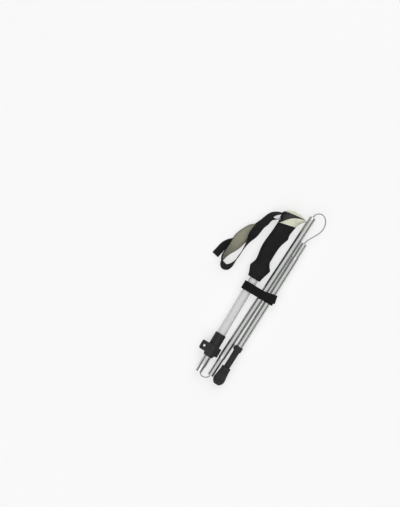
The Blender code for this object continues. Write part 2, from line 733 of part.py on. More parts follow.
def lever_outline():
    """The lever from the end: a cam round the pin and an arm that wraps the collar."""
    x, _, _ = screw_place()
    height = lever_pin_height()
    inner = COLLAR_RADIUS + LEVER_CLEARANCE
    outer = inner + LEVER_THICKNESS
    cam = []
    for a in np.linspace(95, 308, 22):
        turned_by = math.radians(min(max(270.0 - a, 0.0), 110.0)) * 180.0 / 110.0
        lift = LEVER_CAM_LIFT * (0.5 - 0.5 * math.cos(turned_by))
        cam += arc((x, height), LEVER_CAM_RADIUS - lift, a, a, 1)
    under = [(inner * math.cos(math.radians(a)), inner * math.sin(math.radians(a)))
             for a in np.linspace(134, 10, 20)]
    tip = [(LEVER_TIP_X - 0.0018, 0.0012), (LEVER_TIP_X, 0.0014), (LEVER_TIP_X, 0.0030)]
    over = [(outer * math.cos(math.radians(a)), outer * math.sin(math.radians(a)))
            for a in np.linspace(20, 112, 16)]
    return cam + under + tip + over


def make_clamp_lever(hinge):
    """The lever: a forked cam on the barrel pin, closed round the front of the collar."""
    x, y, _ = screw_place()
    height = lever_pin_height()
    width = LUG_TOP - LUG_BOTTOM
    outline = [(px - x, pz - height) for px, pz in lever_outline()]
    lever = prism("clamp_lever", [outline], width, "black_nylon", hinge, tilt=(math.pi / 2, 0.0, 0.0))
    bore = rod("lever_bore", LEVER_PIN_RADIUS + SLIDE_GAP, width, -width, "black_nylon", hinge)
    combine(lever, as_cutter(bore), "DIFFERENCE")
    half = LEVER_SLOT_WIDTH / 2.0
    slot = rod("lever_slot", LEVER_SLOT_RADIUS, half, -half, "black_nylon", hinge, steps=32)
    combine(lever, as_cutter(slot), "DIFFERENCE")


def band_outline(extra, reach):
    """A band's outline round the upper tube and the outermost folded tube."""
    first = UPPER_TUBE_RADIUS + BAND_CLEARANCE + extra
    last = FOLDING_TUBE_RADIUS + BAND_CLEARANCE + extra
    lean = math.degrees(math.asin((first - last) / (reach + BAND_SLACK)))
    left = arc((-BAND_SLACK, 0.0), first, 90 - lean, 270 + lean, 22)
    return left + arc((reach, 0.0), last, 270 + lean, 450 - lean, 20)


def make_tube_band(lower_section):
    """The elastic band that holds the folded tubes together, with its end laid over it."""
    reach = folded_side(lower_section, BAND_STATION) + FOLDING_TUBE_RADIUS
    outline = [band_outline(BAND_THICKNESS, reach), band_outline(0.0, reach)]
    band = prism("tube_band", outline, BAND_WIDTH, "black_webbing", STICK,
                 (0.0, BAND_STATION, 0.0), (math.pi / 2, 0.0, 0.0))
    front = FOLDING_TUBE_RADIUS + BAND_CLEARANCE + BAND_THICKNESS
    slope = math.asin((UPPER_TUBE_RADIUS - FOLDING_TUBE_RADIUS) / (reach + BAND_SLACK))
    half = BAND_WIDTH / 2.0
    end = block("band_end", (-BAND_END_LENGTH, -half, -0.0002), (0.0, half, BAND_END_THICKNESS - 0.0002),
                "black_webbing", STICK)
    end.location = (reach + BAND_END_SPARE, BAND_STATION + BAND_END_RISE,
                    front - BAND_END_SPARE * math.tan(slope))
    end.rotation_euler = (0.0, slope, BAND_END_ANGLE)
    combine(band, as_cutter(end), "UNION")


def make_adjusting_section(body):
    """The adjusting tube, its bush that guides it and holds the cable, and the cable's upper run."""
    top = ADJUSTING_TUBE_TOP
    tube("adjusting_tube", ADJUSTING_TUBE_RADIUS, TUBE_WALL, top, LOCKING_STUB, "polished_aluminium", body)
    shank = ADJUSTING_TUBE_RADIUS - TUBE_WALL - SEAT_GAP
    seat = top + SEAT_GAP
    flange = seat + BUSH_FLANGE
    profile = [
        (ADJUSTING_TUBE_RADIUS, flange), (ADJUSTING_TUBE_RADIUS, seat), (shank, seat),
        (shank, top - BUSH_LENGTH), (CABLE_HOLE_RADIUS, top - BUSH_LENGTH), (CABLE_HOLE_RADIUS, flange),
    ]
    turned("adjusting_bush", profile, "black_nylon", body)
    stop_low = flange + SEAT_GAP
    stop_high = stop_low + CABLE_STOP_LENGTH
    r = CABLE_STOP_RADIUS
    stop = [(0.0, stop_high), (0.8 * r, stop_high), (r, stop_high - 0.2 * r), (r, stop_low), (0.0, stop_low)]
    turned("upper_cable_stop", stop, "steel", body, steps=20)
    run = [(0.0, y, 0.0) for y in np.linspace(flange, CABLE_SPLIT + SEAT_GAP, 30)]
    cable("upper_cable", run, body)


def make_locking_section(body):
    """The locking tube, the bush on its inner end, and the leaf spring of the snap button."""
    top = LOCKING_TUBE_LENGTH
    shell = tube("locking_tube", LOCKING_TUBE_RADIUS, TUBE_WALL, top, 0.0, "polished_aluminium", body)
    outside = LOCKING_TUBE_RADIUS + CUT_MARGIN
    hole = rod("button_hole", BUTTON_RADIUS + SLIDE_GAP, -LOCKING_TUBE_RADIUS / 2.0, -outside, "steel", body,
               (0.0, BUTTON_STATION, 0.0), (0.0, 0.0, 0.0))
    combine(shell, as_cutter(hole), "DIFFERENCE")
    shank = LOCKING_TUBE_RADIUS - TUBE_WALL - SEAT_GAP
    seat = top + SEAT_GAP
    wide_hole = 3.0 * CABLE_RADIUS
    profile = [
        (LOCKING_TUBE_RADIUS, seat + BUSH_FLANGE), (LOCKING_TUBE_RADIUS, seat), (shank, seat),
        (shank, top - BUSH_LENGTH), (wide_hole, top - BUSH_LENGTH), (wide_hole, seat + BUSH_FLANGE),
    ]
    turned("locking_bush", profile, "black_nylon", body)
    outer = leaf_depth()
    half = LEAF_WIDTH / 2.0
    block("button_spring", (-half, LEAF_TOP - LEAF_LENGTH, -outer),
          (half, LEAF_TOP, -outer + LEAF_THICKNESS), "steel", body)


def leaf_depth():
    """How deep the leaf spring's outer face lies, flat against the locking tube's bore."""
    bore = LOCKING_TUBE_RADIUS - TUBE_WALL
    return math.sqrt(bore ** 2 - (LEAF_WIDTH / 2.0) ** 2) - 2.0 * SEAT_GAP


def make_snap_button(slide):
    """The snap button, pushed in by the adjusting tube's wall while it is parked."""
    top = ADJUSTING_TUBE_RADIUS - TUBE_WALL - SLIDE_GAP / 2.0
    foot = leaf_depth() + SEAT_GAP
    dome = [(0.0, -foot), (BUTTON_RADIUS, -foot), (BUTTON_RADIUS, -top + 0.0008),
            (BUTTON_RADIUS * 0.75, -top + 0.0002), (0.0, -top)]
    turned("snap_button", dome, "steel", slide, tilt=(0.0, 0.0, 0.0), steps=20)


def make_middle_section(body):
    """The middle tube and the ferrule that plugs into the locking tube."""
    length = MIDDLE_FERRULE_LENGTH
    tube("middle_tube", FOLDING_TUBE_RADIUS, TUBE_WALL, -length, -MIDDLE_SECTION_LENGTH,
         "polished_aluminium", body)
    ferrule("middle_ferrule", length, body)


def ferrule(name, length, body):
    """A ferrule: half of it stands out of its tube, with a chamfered lead."""
    bore = FERRULE_RADIUS - FERRULE_WALL
    lead = 0.0008
    profile = [
        (FERRULE_RADIUS - lead, 0.0), (FERRULE_RADIUS, -lead),
        (FERRULE_RADIUS, -length - FERRULE_GRIP_LENGTH),
        (bore, -length - FERRULE_GRIP_LENGTH), (bore, 0.0),
    ]
    turned(name, profile, "polished_aluminium", body)


def make_lower_section(body):
    """The lower tube, its ferrule, the cable's end stop, and the tip holder with its steel tip."""
    length = LOWER_FERRULE_LENGTH
    tube("lower_tube", FOLDING_TUBE_RADIUS, TUBE_WALL, -length, -LOWER_TUBE_END, "polished_aluminium", body)
    ferrule("lower_ferrule", length, body)
    stop_top = -length - FERRULE_GRIP_LENGTH - SEAT_GAP
    stop_radius = FOLDING_TUBE_RADIUS - TUBE_WALL - SEAT_GAP
    stop = [(stop_radius, stop_top), (stop_radius, stop_top - CABLE_STOP_LENGTH),
            (CABLE_HOLE_RADIUS, stop_top - CABLE_STOP_LENGTH), (CABLE_HOLE_RADIUS, stop_top)]
    turned("lower_cable_stop", stop, "steel", body, steps=24)

    cup = FOLDING_TUBE_RADIUS + SEAT_GAP
    seat = -LOWER_TUBE_END - SEAT_GAP
    rim = seat + HOLDER_CUP_DEPTH
    collar = rim - HOLDER_COLLAR_LENGTH
    neck = collar - HOLDER_NECK_LENGTH
    spigot = neck - HOLDER_SPIGOT_LENGTH
    tip_bore = STEEL_TIP_RADIUS + SEAT_GAP
    profile = [
        (HOLDER_COLLAR_RADIUS - 0.0004, rim), (HOLDER_COLLAR_RADIUS, rim - 0.0004),
        (HOLDER_COLLAR_RADIUS, collar + 0.0025), (HOLDER_NECK_RADIUS + 0.0003, collar),
        (HOLDER_NECK_RADIUS, neck), (HOLDER_SPIGOT_RADIUS, neck), (HOLDER_SPIGOT_RADIUS, spigot),
        (tip_bore, spigot), (tip_bore, spigot + 0.008), (0.0, spigot + 0.008),
    ]
    profile = [(0.0, seat), (cup, seat), (cup, rim)] + profile
    holder = turned("tip_holder", profile, "black_rubber", body)
    half = HOLDER_LUG_WIDTH / 2.0
    lug_top = rim - 0.0018
    lug = block("holder_lug", (-HOLDER_LUG_REACH, lug_top - HOLDER_LUG_LENGTH, -half),
                (-cup - 0.0004, lug_top, half), "black_rubber", body)
    combine(holder, as_cutter(lug), "UNION")
    tip_top = spigot + 0.008 - SEAT_GAP
    tip = [(0.0, tip_top), (STEEL_TIP_RADIUS, tip_top),
           (STEEL_TIP_RADIUS, tip_top - STEEL_TIP_LENGTH + 0.0015),
           (0.0015, tip_top - STEEL_TIP_LENGTH), (0.0, tip_top - STEEL_TIP_LENGTH)]
    turned("steel_tip", tip, "steel", body, steps=20)
    return neck, spigot, tip_top - STEEL_TIP_LENGTH


def make_rubber_foot(body, neck, spigot, tip_end):
    """The rubber foot: a flared sleeve pushed over the tip holder's spigot."""
    top = neck - SEAT_GAP
    tread = top - FOOT_LENGTH
    bore = HOLDER_SPIGOT_RADIUS + SEAT_GAP
    tip_bore = STEEL_TIP_RADIUS + 0.0008
    end = tip_end - 0.001
    profile = [
        (bore, top), (FOOT_TOP_RADIUS - 0.0008, top), (FOOT_TOP_RADIUS, top - 0.0008),
        (FOOT_TOP_RADIUS + 0.0001, top - 0.004), (FOOT_TOP_RADIUS + 0.0012, top - 0.4 * FOOT_LENGTH),
        (FOOT_RADIUS - 0.0002, tread + 0.0140), (FOOT_RADIUS, tread + 0.0105),
        (FOOT_RADIUS - 0.0010, tread + 0.0070), (FOOT_RADIUS - 0.0028, tread + 0.0040),
        (FOOT_TREAD_RADIUS + 0.0022, tread + 0.0014), (FOOT_TREAD_RADIUS, tread), (0.0, tread),
    ]
    socket = [(0.0, end), (tip_bore, end), (tip_bore, spigot - SEAT_GAP), (bore, spigot - SEAT_GAP)]
    profile = socket + profile
    turned("rubber_foot", profile, "black_rubber", body)


def section_point(section, station):
    """A point on a section's axis, in the stick's own frame."""
    return world_of(section) @ Vector((0.0, -station, 0.0))


def in_metres(rows):
    """Points in millimetres in the stick's own frame, half way through its depth."""
    return [(x * MM, y * MM, 0.0) for x, y in rows]


def make_cables(locking, cable_fold, middle, lower_carrier, lower):
    """The cable's bend at the bottom, its run in the middle tube and its loop at the top."""
    bend = in_metres([
        (0.1, 22.0), (1.0, 14.0), (2.4, 6.5), (3.7, 1.2), (5.8, -1.8), (9.2, -3.7), (13.2, -4.0),
        (17.4, -2.8), (20.8, -0.2),
    ])
    entry = section_point(middle, 0.0) - Vector((0.7, 1.6, 0.0)) * MM
    join = FERRULE_BEND_DEPTH
    bend = [(0.0, CABLE_SPLIT, 0.0)] + bend + [tuple(entry), tuple(section_point(middle, join))]
    cable("bottom_cable_bend", smooth_route(bend, CABLE_POINT_STEP / 3.0), locking)

    first = join + SEAT_GAP
    last = MIDDLE_SECTION_LENGTH - LOOP_START
    run = [tuple(section_point(middle, s)) for s in np.linspace(first, last, 30)]
    cable("middle_cable", run, cable_fold)

    stop_end = LOWER_FERRULE_LENGTH + FERRULE_GRIP_LENGTH + SEAT_GAP + CABLE_STOP_LENGTH
    stations = np.arange(last + SEAT_GAP, MIDDLE_SECTION_LENGTH - 0.006, 0.02)
    inside = [tuple(section_point(middle, s)) for s in stations]
    loop = in_metres([
        (37.2, 375.2), (38.2, 380.3), (41.4, 384.8), (46.4, 387.6), (52.2, 387.9), (57.7, 385.3),
        (62.2, 380.2), (65.3, 373.2), (66.2, 365.6), (64.8, 357.4), (61.2, 348.8), (56.8, 340.8),
        (52.6, 333.0), (50.0, 326.8),
    ])
    entered = [tuple(section_point(lower, s)) for s in (0.001, 0.012, 0.03, 0.05, stop_end)]
    cable("top_cable_loop", smooth_route(inside + loop + entered, CABLE_POINT_STEP), lower_carrier)


def build():
    """Put the stick together, from the grip down to the foot."""
    length_slide = make_pivot("length_slide", STICK)
    deploy_slide = make_pivot("deploy_slide", length_slide)
    button_slide = make_pivot("button_slide", deploy_slide, (0.0, BUTTON_STATION, 0.0))
    fold_place = (MIDDLE_FOLD_OFFSET, MIDDLE_FOLD_REACH - MOUTH_CLEARANCE, 0.0)
    middle_fold = make_pivot("middle_fold", deploy_slide, fold_place, MIDDLE_FOLD_ANGLE)
    middle = make_pivot("middle_seat", middle_fold, (-MIDDLE_FOLD_OFFSET, -MIDDLE_FOLD_REACH, 0.0))
    lower_y = -MIDDLE_SECTION_LENGTH - MOUTH_CLEARANCE + LOWER_FOLD_REACH
    lower_seat = make_pivot("lower_seat", middle)
    lower_fold = make_pivot("lower_fold", lower_seat, (-LOWER_FOLD_OFFSET, lower_y, 0.0), -LOWER_FOLD_ANGLE)
    lower = make_pivot("lower_section", lower_fold, (LOWER_FOLD_OFFSET, -LOWER_FOLD_REACH, 0.0))

    make_upper_tube()
    make_foam_grip()
    wedge = make_head(folded_side(middle, BEAK_STATION) - BEAK_CLEARANCE)
    make_strap(wedge)
    make_clamp_collar()
    make_tension_parts()
    x, y, _ = screw_place()
    lever_hinge = make_pivot("lever_hinge", STICK, (x, y, lever_pin_height()))
    make_clamp_lever(lever_hinge)

    make_adjusting_section(length_slide)
    make_locking_section(deploy_slide)
    make_snap_button(button_slide)
    make_middle_section(middle)
    neck, spigot, tip_end = make_lower_section(lower)
    foot_slide = make_pivot("foot_slide", lower)
    make_rubber_foot(foot_slide, neck, spigot, tip_end)

    make_cables(deploy_slide, middle_fold, middle, lower_seat, lower)
    make_tube_band(lower)
    STICK.location = -FRAME_CENTRE
    for piece in PARTS.objects:
        if piece.type == "MESH":
            piece.data.shade_smooth()
            piece.data.set_sharp_from_angle(angle=math.radians(35.0))


clear_scene()
PARTS = make_collection("folding_walking_stick")
CUTTERS = make_collection("cutters")
MATERIALS = {name: make_material(name, *values) for name, values in COLORS.items()}
STICK = make_pivot("stick")
build()
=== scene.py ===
"""The finishes and fine shapes of a folding walking stick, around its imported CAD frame.

The stick lies folded and flat. Its own axis is +Y, towards the grip, and the folded tubes
lie beside the upper tube on its +X side. Each section below is one piece, or one group of
like pieces, in the order in which the stick is put together.
"""

import math

import bmesh
import bpy
import numpy as np
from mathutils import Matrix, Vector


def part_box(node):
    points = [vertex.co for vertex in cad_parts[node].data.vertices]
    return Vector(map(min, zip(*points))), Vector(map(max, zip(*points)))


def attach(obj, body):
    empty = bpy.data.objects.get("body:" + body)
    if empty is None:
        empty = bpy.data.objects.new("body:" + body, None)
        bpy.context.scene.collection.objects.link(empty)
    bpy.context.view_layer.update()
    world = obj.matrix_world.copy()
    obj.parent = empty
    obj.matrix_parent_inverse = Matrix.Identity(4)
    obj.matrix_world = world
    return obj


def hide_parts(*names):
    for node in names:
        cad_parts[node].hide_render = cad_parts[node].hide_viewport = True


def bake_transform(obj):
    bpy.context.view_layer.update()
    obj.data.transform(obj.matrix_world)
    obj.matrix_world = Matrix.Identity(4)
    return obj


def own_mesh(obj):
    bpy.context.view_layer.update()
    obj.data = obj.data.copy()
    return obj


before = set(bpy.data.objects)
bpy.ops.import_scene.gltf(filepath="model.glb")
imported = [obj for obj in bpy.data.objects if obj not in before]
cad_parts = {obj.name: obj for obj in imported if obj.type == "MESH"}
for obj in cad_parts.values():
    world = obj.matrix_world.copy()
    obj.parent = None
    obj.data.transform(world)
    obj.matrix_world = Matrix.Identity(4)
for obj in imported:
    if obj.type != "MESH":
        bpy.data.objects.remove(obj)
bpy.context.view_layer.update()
scene = bpy.context.scene
scene.view_settings.view_transform = "Standard"


# The upper tube: an 18 mm aluminium tube, painted white and lacquered. Its lower end is
# glued in the flip lock's collar and its upper end in the grip.
ALONG = np.array([0.0, 1.0, 0.0])
UP = np.array([0.0, 0.0, 1.0])
TUBE_EDGE = 0.0002
TUBE_ROWS = 25
TUBE_STEPS = 128
TUBE_WALL = 0.0007
WHITE_PAINT = (0.672, 0.677, 0.672)
RUBBED_PAINT = (0.545, 0.550, 0.545)
ORANGE_PEEL = 0.000012


def together(*parts):
    """Points whose first numbers come from the first array, the second from the next."""
    return np.stack(np.broadcast_arrays(*parts), axis=-1)


def full_turn(steps):
    """Even turns once round from 0, without the last, which is the first again."""
    return np.linspace(0.0, 2.0 * math.pi, steps, endpoint=False)


def unit(vectors):
    """Each vector divided by its length."""
    return vectors / np.linalg.norm(vectors, axis=-1, keepdims=True)


def quadratic(t, start, control, end):
    """(1 - t) squared of the start, 2 t (1 - t) of the control point, t squared of the end."""
    return (1 - t) ** 2 * start + 2 * t * (1 - t) * control + t ** 2 * end


def soften(outline, radius, closed=False, count=5):
    """An outline with its corners eased.

    Each corner is cut back along both of its sides, by the radius or less than half of the
    shorter side, and a quadratic curve with the corner as its control point is laid between.
    """
    points = np.asarray(outline, float)
    sides = np.stack([np.roll(points, 1, axis=0), np.roll(points, -1, axis=0)]) - points
    if not closed:
        sides[0, 0] = sides[1, -1] = 0.0
    lengths = np.maximum(np.linalg.norm(sides, axis=-1), 1e-12)
    cut = np.minimum(lengths.min(axis=0) * 0.48, radius)
    start, end = points + sides * (cut / lengths)[..., None]
    t = np.linspace(0.0, 1.0, count)[:, None]
    return quadratic(t, start[:, None], points[:, None], end[:, None]).reshape(-1, points.shape[1])


def piece_of(name, points, faces, finish, places=None, sharp=40.0, close=None):
    """A piece from points and quads. Points that coincide are merged, and faces turn outward.

    Places are its UV map. Close, where given, is the way in which its open edges are closed.
    Edges bent by more than sharp degrees show as edges.
    """
    mesh = bpy.data.meshes.new(name)
    mesh.from_pydata(points.reshape(-1, 3).tolist(), [], faces.reshape(-1, 4).tolist())
    if places is not None:
        mesh.uv_layers.new(name="UVMap").data.foreach_set("uv", places.ravel())
    shape = bmesh.new()
    shape.from_mesh(mesh)
    bmesh.ops.remove_doubles(shape, verts=shape.verts, dist=1e-7)
    if close:
        close(shape, edges=[edge for edge in shape.edges if edge.is_boundary])
    bmesh.ops.recalc_face_normals(shape, faces=shape.faces)
    shape.to_mesh(mesh)
    shape.free()
    mesh.shade_smooth()
    mesh.set_sharp_from_angle(angle=math.radians(sharp))
    mesh.materials.append(finish)
    piece = bpy.data.objects.new(name, mesh)
    scene.collection.objects.link(piece)
    return piece


def quads(rows, columns, closed_rows=False, closed_columns=True):
    """The rows and the columns of the four corners of each quad of a grid."""
    row, column = np.meshgrid(np.arange(rows - 1 + closed_rows),
                              np.arange(columns - 1 + closed_columns), indexing="ij")
    return row[..., None] + [0, 0, 1, 1], column[..., None] + [0, 1, 1, 0]


def skin(name, grid, finish, closed_rows=False, closed_columns=True, **ways):
    """A piece over a grid of points, with a UV map in metres.

    Quads join each point to its neighbours in the next row and column, and past the last one
    to the first where the grid is closed that way. U is the mean length along the rows from
    the first, and V the mean length round the columns.
    """
    rows, columns = grid.shape[:2]
    row, column = quads(rows, columns, closed_rows, closed_columns)
    steps = [np.linalg.norm(np.diff(grid, axis=way, append=grid.take([0], way)), axis=2) for way in (0, 1)]
    u, v = (np.append(0.0, np.cumsum(step.mean(axis=1 - way))) for way, step in enumerate(steps))
    return piece_of(name, grid, row % rows * columns + column % columns, finish,
                    together(u[row], v[column]), **ways)


def turned(name, profile, start, along, finish, steps=TUBE_STEPS, shaped=None):
    """A turned piece: a profile of (station, radius) points carried round an axis.

    A point is the start, plus the station along the axis, plus the radius times the cosine
    and the sine of the turn on two directions square to the axis. Shaped, where given, gives
    the radius anew from the station, the radius and the turn. A profile that begins off the
    axis is closed on itself.
    """
    w = unit(along)
    side = unit(np.cross(w, UP if abs(w[2]) < 0.9 else (1.0, 0.0, 0.0)))
    station, radius = np.asarray(profile, float).T[..., None]
    closed = bool(radius[0, 0] > 0.0)
    turn = full_turn(steps)
    if shaped:
        radius = shaped(station, radius, turn)
    grid = (start + station[..., None] * w + (radius * np.cos(turn))[..., None] * side
            + (radius * np.sin(turn))[..., None] * np.cross(side, w))
    return skin(name, grid, finish, closed)


def axis_of(node, along):
    """The two ends and the radius of a round node, from its box and its axis.

    A disc of that radius, square to the axis, reaches radius * sqrt(1 - a * a) to each side
    along a box direction in which the axis has the part a; that comes off the box. No part
    of the axis is below 0.
    """
    low, high = np.array(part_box(node))
    radius = (high[2] - low[2]) / 2.0
    reach = radius * np.sqrt(np.clip(1.0 - along ** 2, 0.0, 1.0))
    return low + reach, high - reach, radius


def tube(name, node, along, finish):
    """A drawn tube in a CAD tube's place: its wall's profile, closed, with eased edges."""
    start, end, radius = axis_of(node, along)
    stations = np.linspace(0.0, np.linalg.norm(end - start), TUBE_ROWS)
    wall = np.concatenate([together(stations, radius), together(stations[::-1], radius - TUBE_WALL)])
    return turned(name, soften(wall, TUBE_EDGE, True, 3), start, end - start, finish)


class Wire:
    """A socket of a material's nodes. Arithmetic on it adds Math nodes."""

    def __init__(self, tree, socket=None):
        self.tree = tree
        self.socket = socket

    def node(self, kind, settings, sockets, output=0):
        """Adds a node: its settings first, then the value or the wire of each socket."""
        made = self.tree.nodes.new(kind)
        for name, value in settings.items():
            if name == "stops":
                for _ in value[2:]:
                    made.color_ramp.elements.new(1.0)
                for element, (place, grey) in zip(made.color_ramp.elements, value):
                    element.position, element.color = place, (grey, grey, grey, 1.0)
            else:
                setattr(made, name, value)
        for name, value in sockets.items():
            if isinstance(value, Wire):
                self.tree.links.new(value.socket, made.inputs[name])
            else:
                made.inputs[name].default_value = value
        return Wire(self.tree, made.outputs[output])

    def math(self, operation, *values):
        """A Math node on this wire and on the values or wires after it."""
        return self.node("ShaderNodeMath", {"operation": operation}, dict(enumerate((self, *values))))

    def __add__(self, other):
        return self.math("ADD", other)

    def __sub__(self, other):
        return self.math("SUBTRACT", other)

    def __rsub__(self, other):
        return self.math("MULTIPLY_ADD", -1.0, other)

    def __mul__(self, other):
        return self.math("MULTIPLY", other)

    def __lt__(self, other):
        return self.math("LESS_THAN", other)

    def part(self, number):
        """One of the three numbers of these coordinates."""
        return self.node("ShaderNodeSeparateXYZ", {}, {0: self}, number)

    def noise(self, scale, detail=3.0, stretch=(1.0, 1.0, 1.0)):
        """Noise from 0 to 1 on these coordinates, in grains of 1 / scale metres."""
        at = self.node("ShaderNodeMapping", {}, {"Vector": self, "Scale": stretch})
        return at.node("ShaderNodeTexNoise", {}, {"Vector": at, "Scale": scale, "Detail": detail})

    def range(self, low, high, to_low=0.0, to_high=1.0):
        """These values taken from one range to another, eased and kept inside it."""
        return self.node("ShaderNodeMapRange", {"interpolation_type": "SMOOTHSTEP"},
                         {0: self, 1: low, 2: high, 3: to_low, 4: to_high})

    def blend(self, first, second):
        """The first colour where this wire is 0 and the second where it is 1."""
        first, second = ((*color, 1.0) if isinstance(color, tuple) else color for color in (first, second))
        return self.node("ShaderNodeMix", {"data_type": "RGBA"}, {0: self, 6: first, 7: second}, 2)

    def bump(self, depth):
        """A surface normal from this height, where a height of 1 stands this many metres up."""
        return self.node("ShaderNodeBump", {}, {"Height": self, "Distance": depth})


def finish_of(name, **constants):
    """A Principled material with its constant sockets set, its shader and Object coordinates."""
    made = bpy.data.materials.new(name)
    made.use_nodes = True
    shader = made.node_tree.nodes["Principled BSDF"]
    for socket, value in constants.items():
        shader.inputs[socket.replace("_", " ")].default_value = value
    return made, shader, Wire(made.node_tree).node("ShaderNodeTexCoord", {}, {}, "Object")


def wire_up(shader, **wires):
    """Joins wires to the shader's sockets."""
    for socket, wire in wires.items():
        wire.tree.links.new(wire.socket, shader.inputs[socket.replace("_", " ")])


def stands_for(piece, body, slot, *nodes):
    """The piece moves with a body and is shown in place of CAD nodes. The slot is not used.

    In place of one body, two bodies and two points leave the piece where it stands, on no body.
    """
    if isinstance(body, tuple):
        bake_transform(piece)
    else:
        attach(piece, body)
    if nodes:
        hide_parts(*nodes)
    return piece


white_paint, shader, place = finish_of("white_paint", Coat_Weight=0.35, Coat_Roughness=0.12)
rubbed = place.noise(160.0, 6.0, (1.0, 0.25, 1.0)).range(0.60, 0.72) * place.noise(14.0).range(0.45, 0.65)
wire_up(shader, Base_Color=(rubbed * 0.5).blend(WHITE_PAINT, RUBBED_PAINT),
        Roughness=place.noise(60.0).range(0.3, 0.7, 0.28, 0.40),
        Normal=place.noise(1100.0, 1.0).bump(ORANGE_PEEL))

stands_for(tube("white_upper_tube", "upper_tube", ALONG, white_paint), "handle", "white_paint", "upper_tube")


# The foam grip: moulded EVA foam, pushed and glued over the tube's upper end. It has a
# finger nub in front, a waist for the palm and a flared lower end.
GRIP_BOTTOM = -0.118
GRIP_LENGTH = 0.1232
GRIP_SQUARENESS = 2.4
GRIP_BORE = 0.0093
GRIP_EDGE = 0.0016
GRIP_TOP_EDGE = GRIP_EDGE / 3.0
GRIP_EDGE_SHARE = 0.72
GRIP_TOP_EDGE_SHARE = 0.9
GRIP_FACE_SHARE = 0.4
GRIP_ROWS = 130
GRIP_STEPS = 160
PARTING_RIDGE = 0.010
PARTING_WIDTH = 0.02
EVA_FOAM = (0.0120, 0.0112, 0.0122)
WORN_FOAM = (0.0210, 0.0200, 0.0212)
# Station, left side, right side and half depth in millimetres, and the section's slope.
GRIP_SECTIONS = np.array([
    (0.0, -14.0, 12.4, 12.2, 0.00), (5.0, -15.2, 13.1, 13.0, 0.00),
    (14.0, -18.6, 15.5, 14.2, 0.00), (21.5, -21.1, 17.8, 14.9, 0.02),
    (27.5, -19.2, 19.1, 14.8, 0.03), (34.0, -17.0, 14.6, 13.8, 0.03),
    (41.5, -17.2, 10.8, 13.0, 0.02), (52.0, -19.0, 10.2, 13.2, 0.02),
    (63.0, -20.4, 10.2, 13.8, 0.03), (74.0, -20.5, 10.8, 14.1, 0.05),
    (84.0, -19.7, 12.7, 14.0, 0.08), (92.0, -19.0, 15.6, 13.7, 0.11),
    (97.0, -18.6, 17.4, 13.5, 0.14), (104.0, -18.1, 15.8, 13.2, 0.18),
    (112.0, -17.7, 16.3, 13.2, 0.22), (123.2, -17.2, 18.4, 13.4, 0.246),
]) * [0.001, 0.001, 0.001, 0.001, 1.0]

tube_low, tube_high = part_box("upper_tube")
tube_top = np.array([(tube_low.x + tube_high.x) / 2.0, tube_high.y, (tube_low.z + tube_high.z) / 2.0])


def from_top(points):
    """Points (x, y, z) from the middle of the upper tube's top end, put in their place."""
    return tube_top + np.asarray(points, float)


def eased(rows, at):
    """Rows of (station, values) read at other stations along a smooth curve.

    Between two rows it is the cubic through both whose slopes there are those of the rows
    around them: the four Hermite weights in t times the values and the slopes.
    """
    station, values = rows[:, 0], rows[:, 1:]
    slopes = np.gradient(values, station, axis=0)
    at = np.clip(at, station[0], station[-1])
    i = np.clip(np.searchsorted(station, at) - 1, 0, len(station) - 2)
    step = (station[i + 1] - station[i])[..., None]
    t = (at - station[i])[..., None] / step
    return ((1 + 2 * t) * (1 - t) ** 2 * values[i] + t * (1 - t) ** 2 * step * slopes[i]
            + t ** 2 * (3 - 2 * t) * values[i + 1] + t ** 2 * (t - 1) * step * slopes[i + 1])


def oval(turn, squareness):
    """A squared circle: the cosine and the sine, each raised to 2 / squareness in size."""
    both = np.stack([np.cos(turn), np.sin(turn)])
    return np.sign(both) * np.abs(both) ** (2.0 / squareness)


def grip_surface(share, station, turn):
    """The grip between its bore, at a share of 0, and its outside, at a share of 1.

    The outside is an oval between the left and right sides of its section. Its station
    rises with x by the section's slope. A fine ridge, where the mould parts, runs along both
    sides. The share goes straight from the bore to the outside.
    """
    left, right, depth, slope = np.moveaxis(eased(GRIP_SECTIONS, station), -1, 0)[..., None]
    across, deep = oval(turn, GRIP_SQUARENESS)
    across = across * (1.0 + PARTING_RIDGE * np.exp(-(np.sin(turn) / PARTING_WIDTH) ** 2))
    share = share[:, None]
    bore = (1 - share) * GRIP_BORE
    x = share * ((left + right) / 2.0 + (right - left) / 2.0 * across) + bore * np.cos(turn)
    z = share * depth * deep + bore * np.sin(turn)
    return from_top(together(x, GRIP_BOTTOM + station[:, None] + slope * x, z))


foam, shader, place = finish_of("foam", Roughness=0.85, Specular_IOR_Level=0.16)
pores = place.node("ShaderNodeTexVoronoi", {"feature": "F1"}, {"Vector": place, "Scale": 1150.0})
skin_grain = place.noise(600.0, 4.0) * 0.6 + pores.range(0.0, 0.55) * 0.8
worn = place.noise(38.0, 5.0).range(0.42, 0.75) * 0.7 + place.noise(900.0, 2.0).range(0.55, 0.75) * 0.5
wire_up(shader, Base_Color=worn.blend(EVA_FOAM, WORN_FOAM), Normal=skin_grain.bump(0.00030))

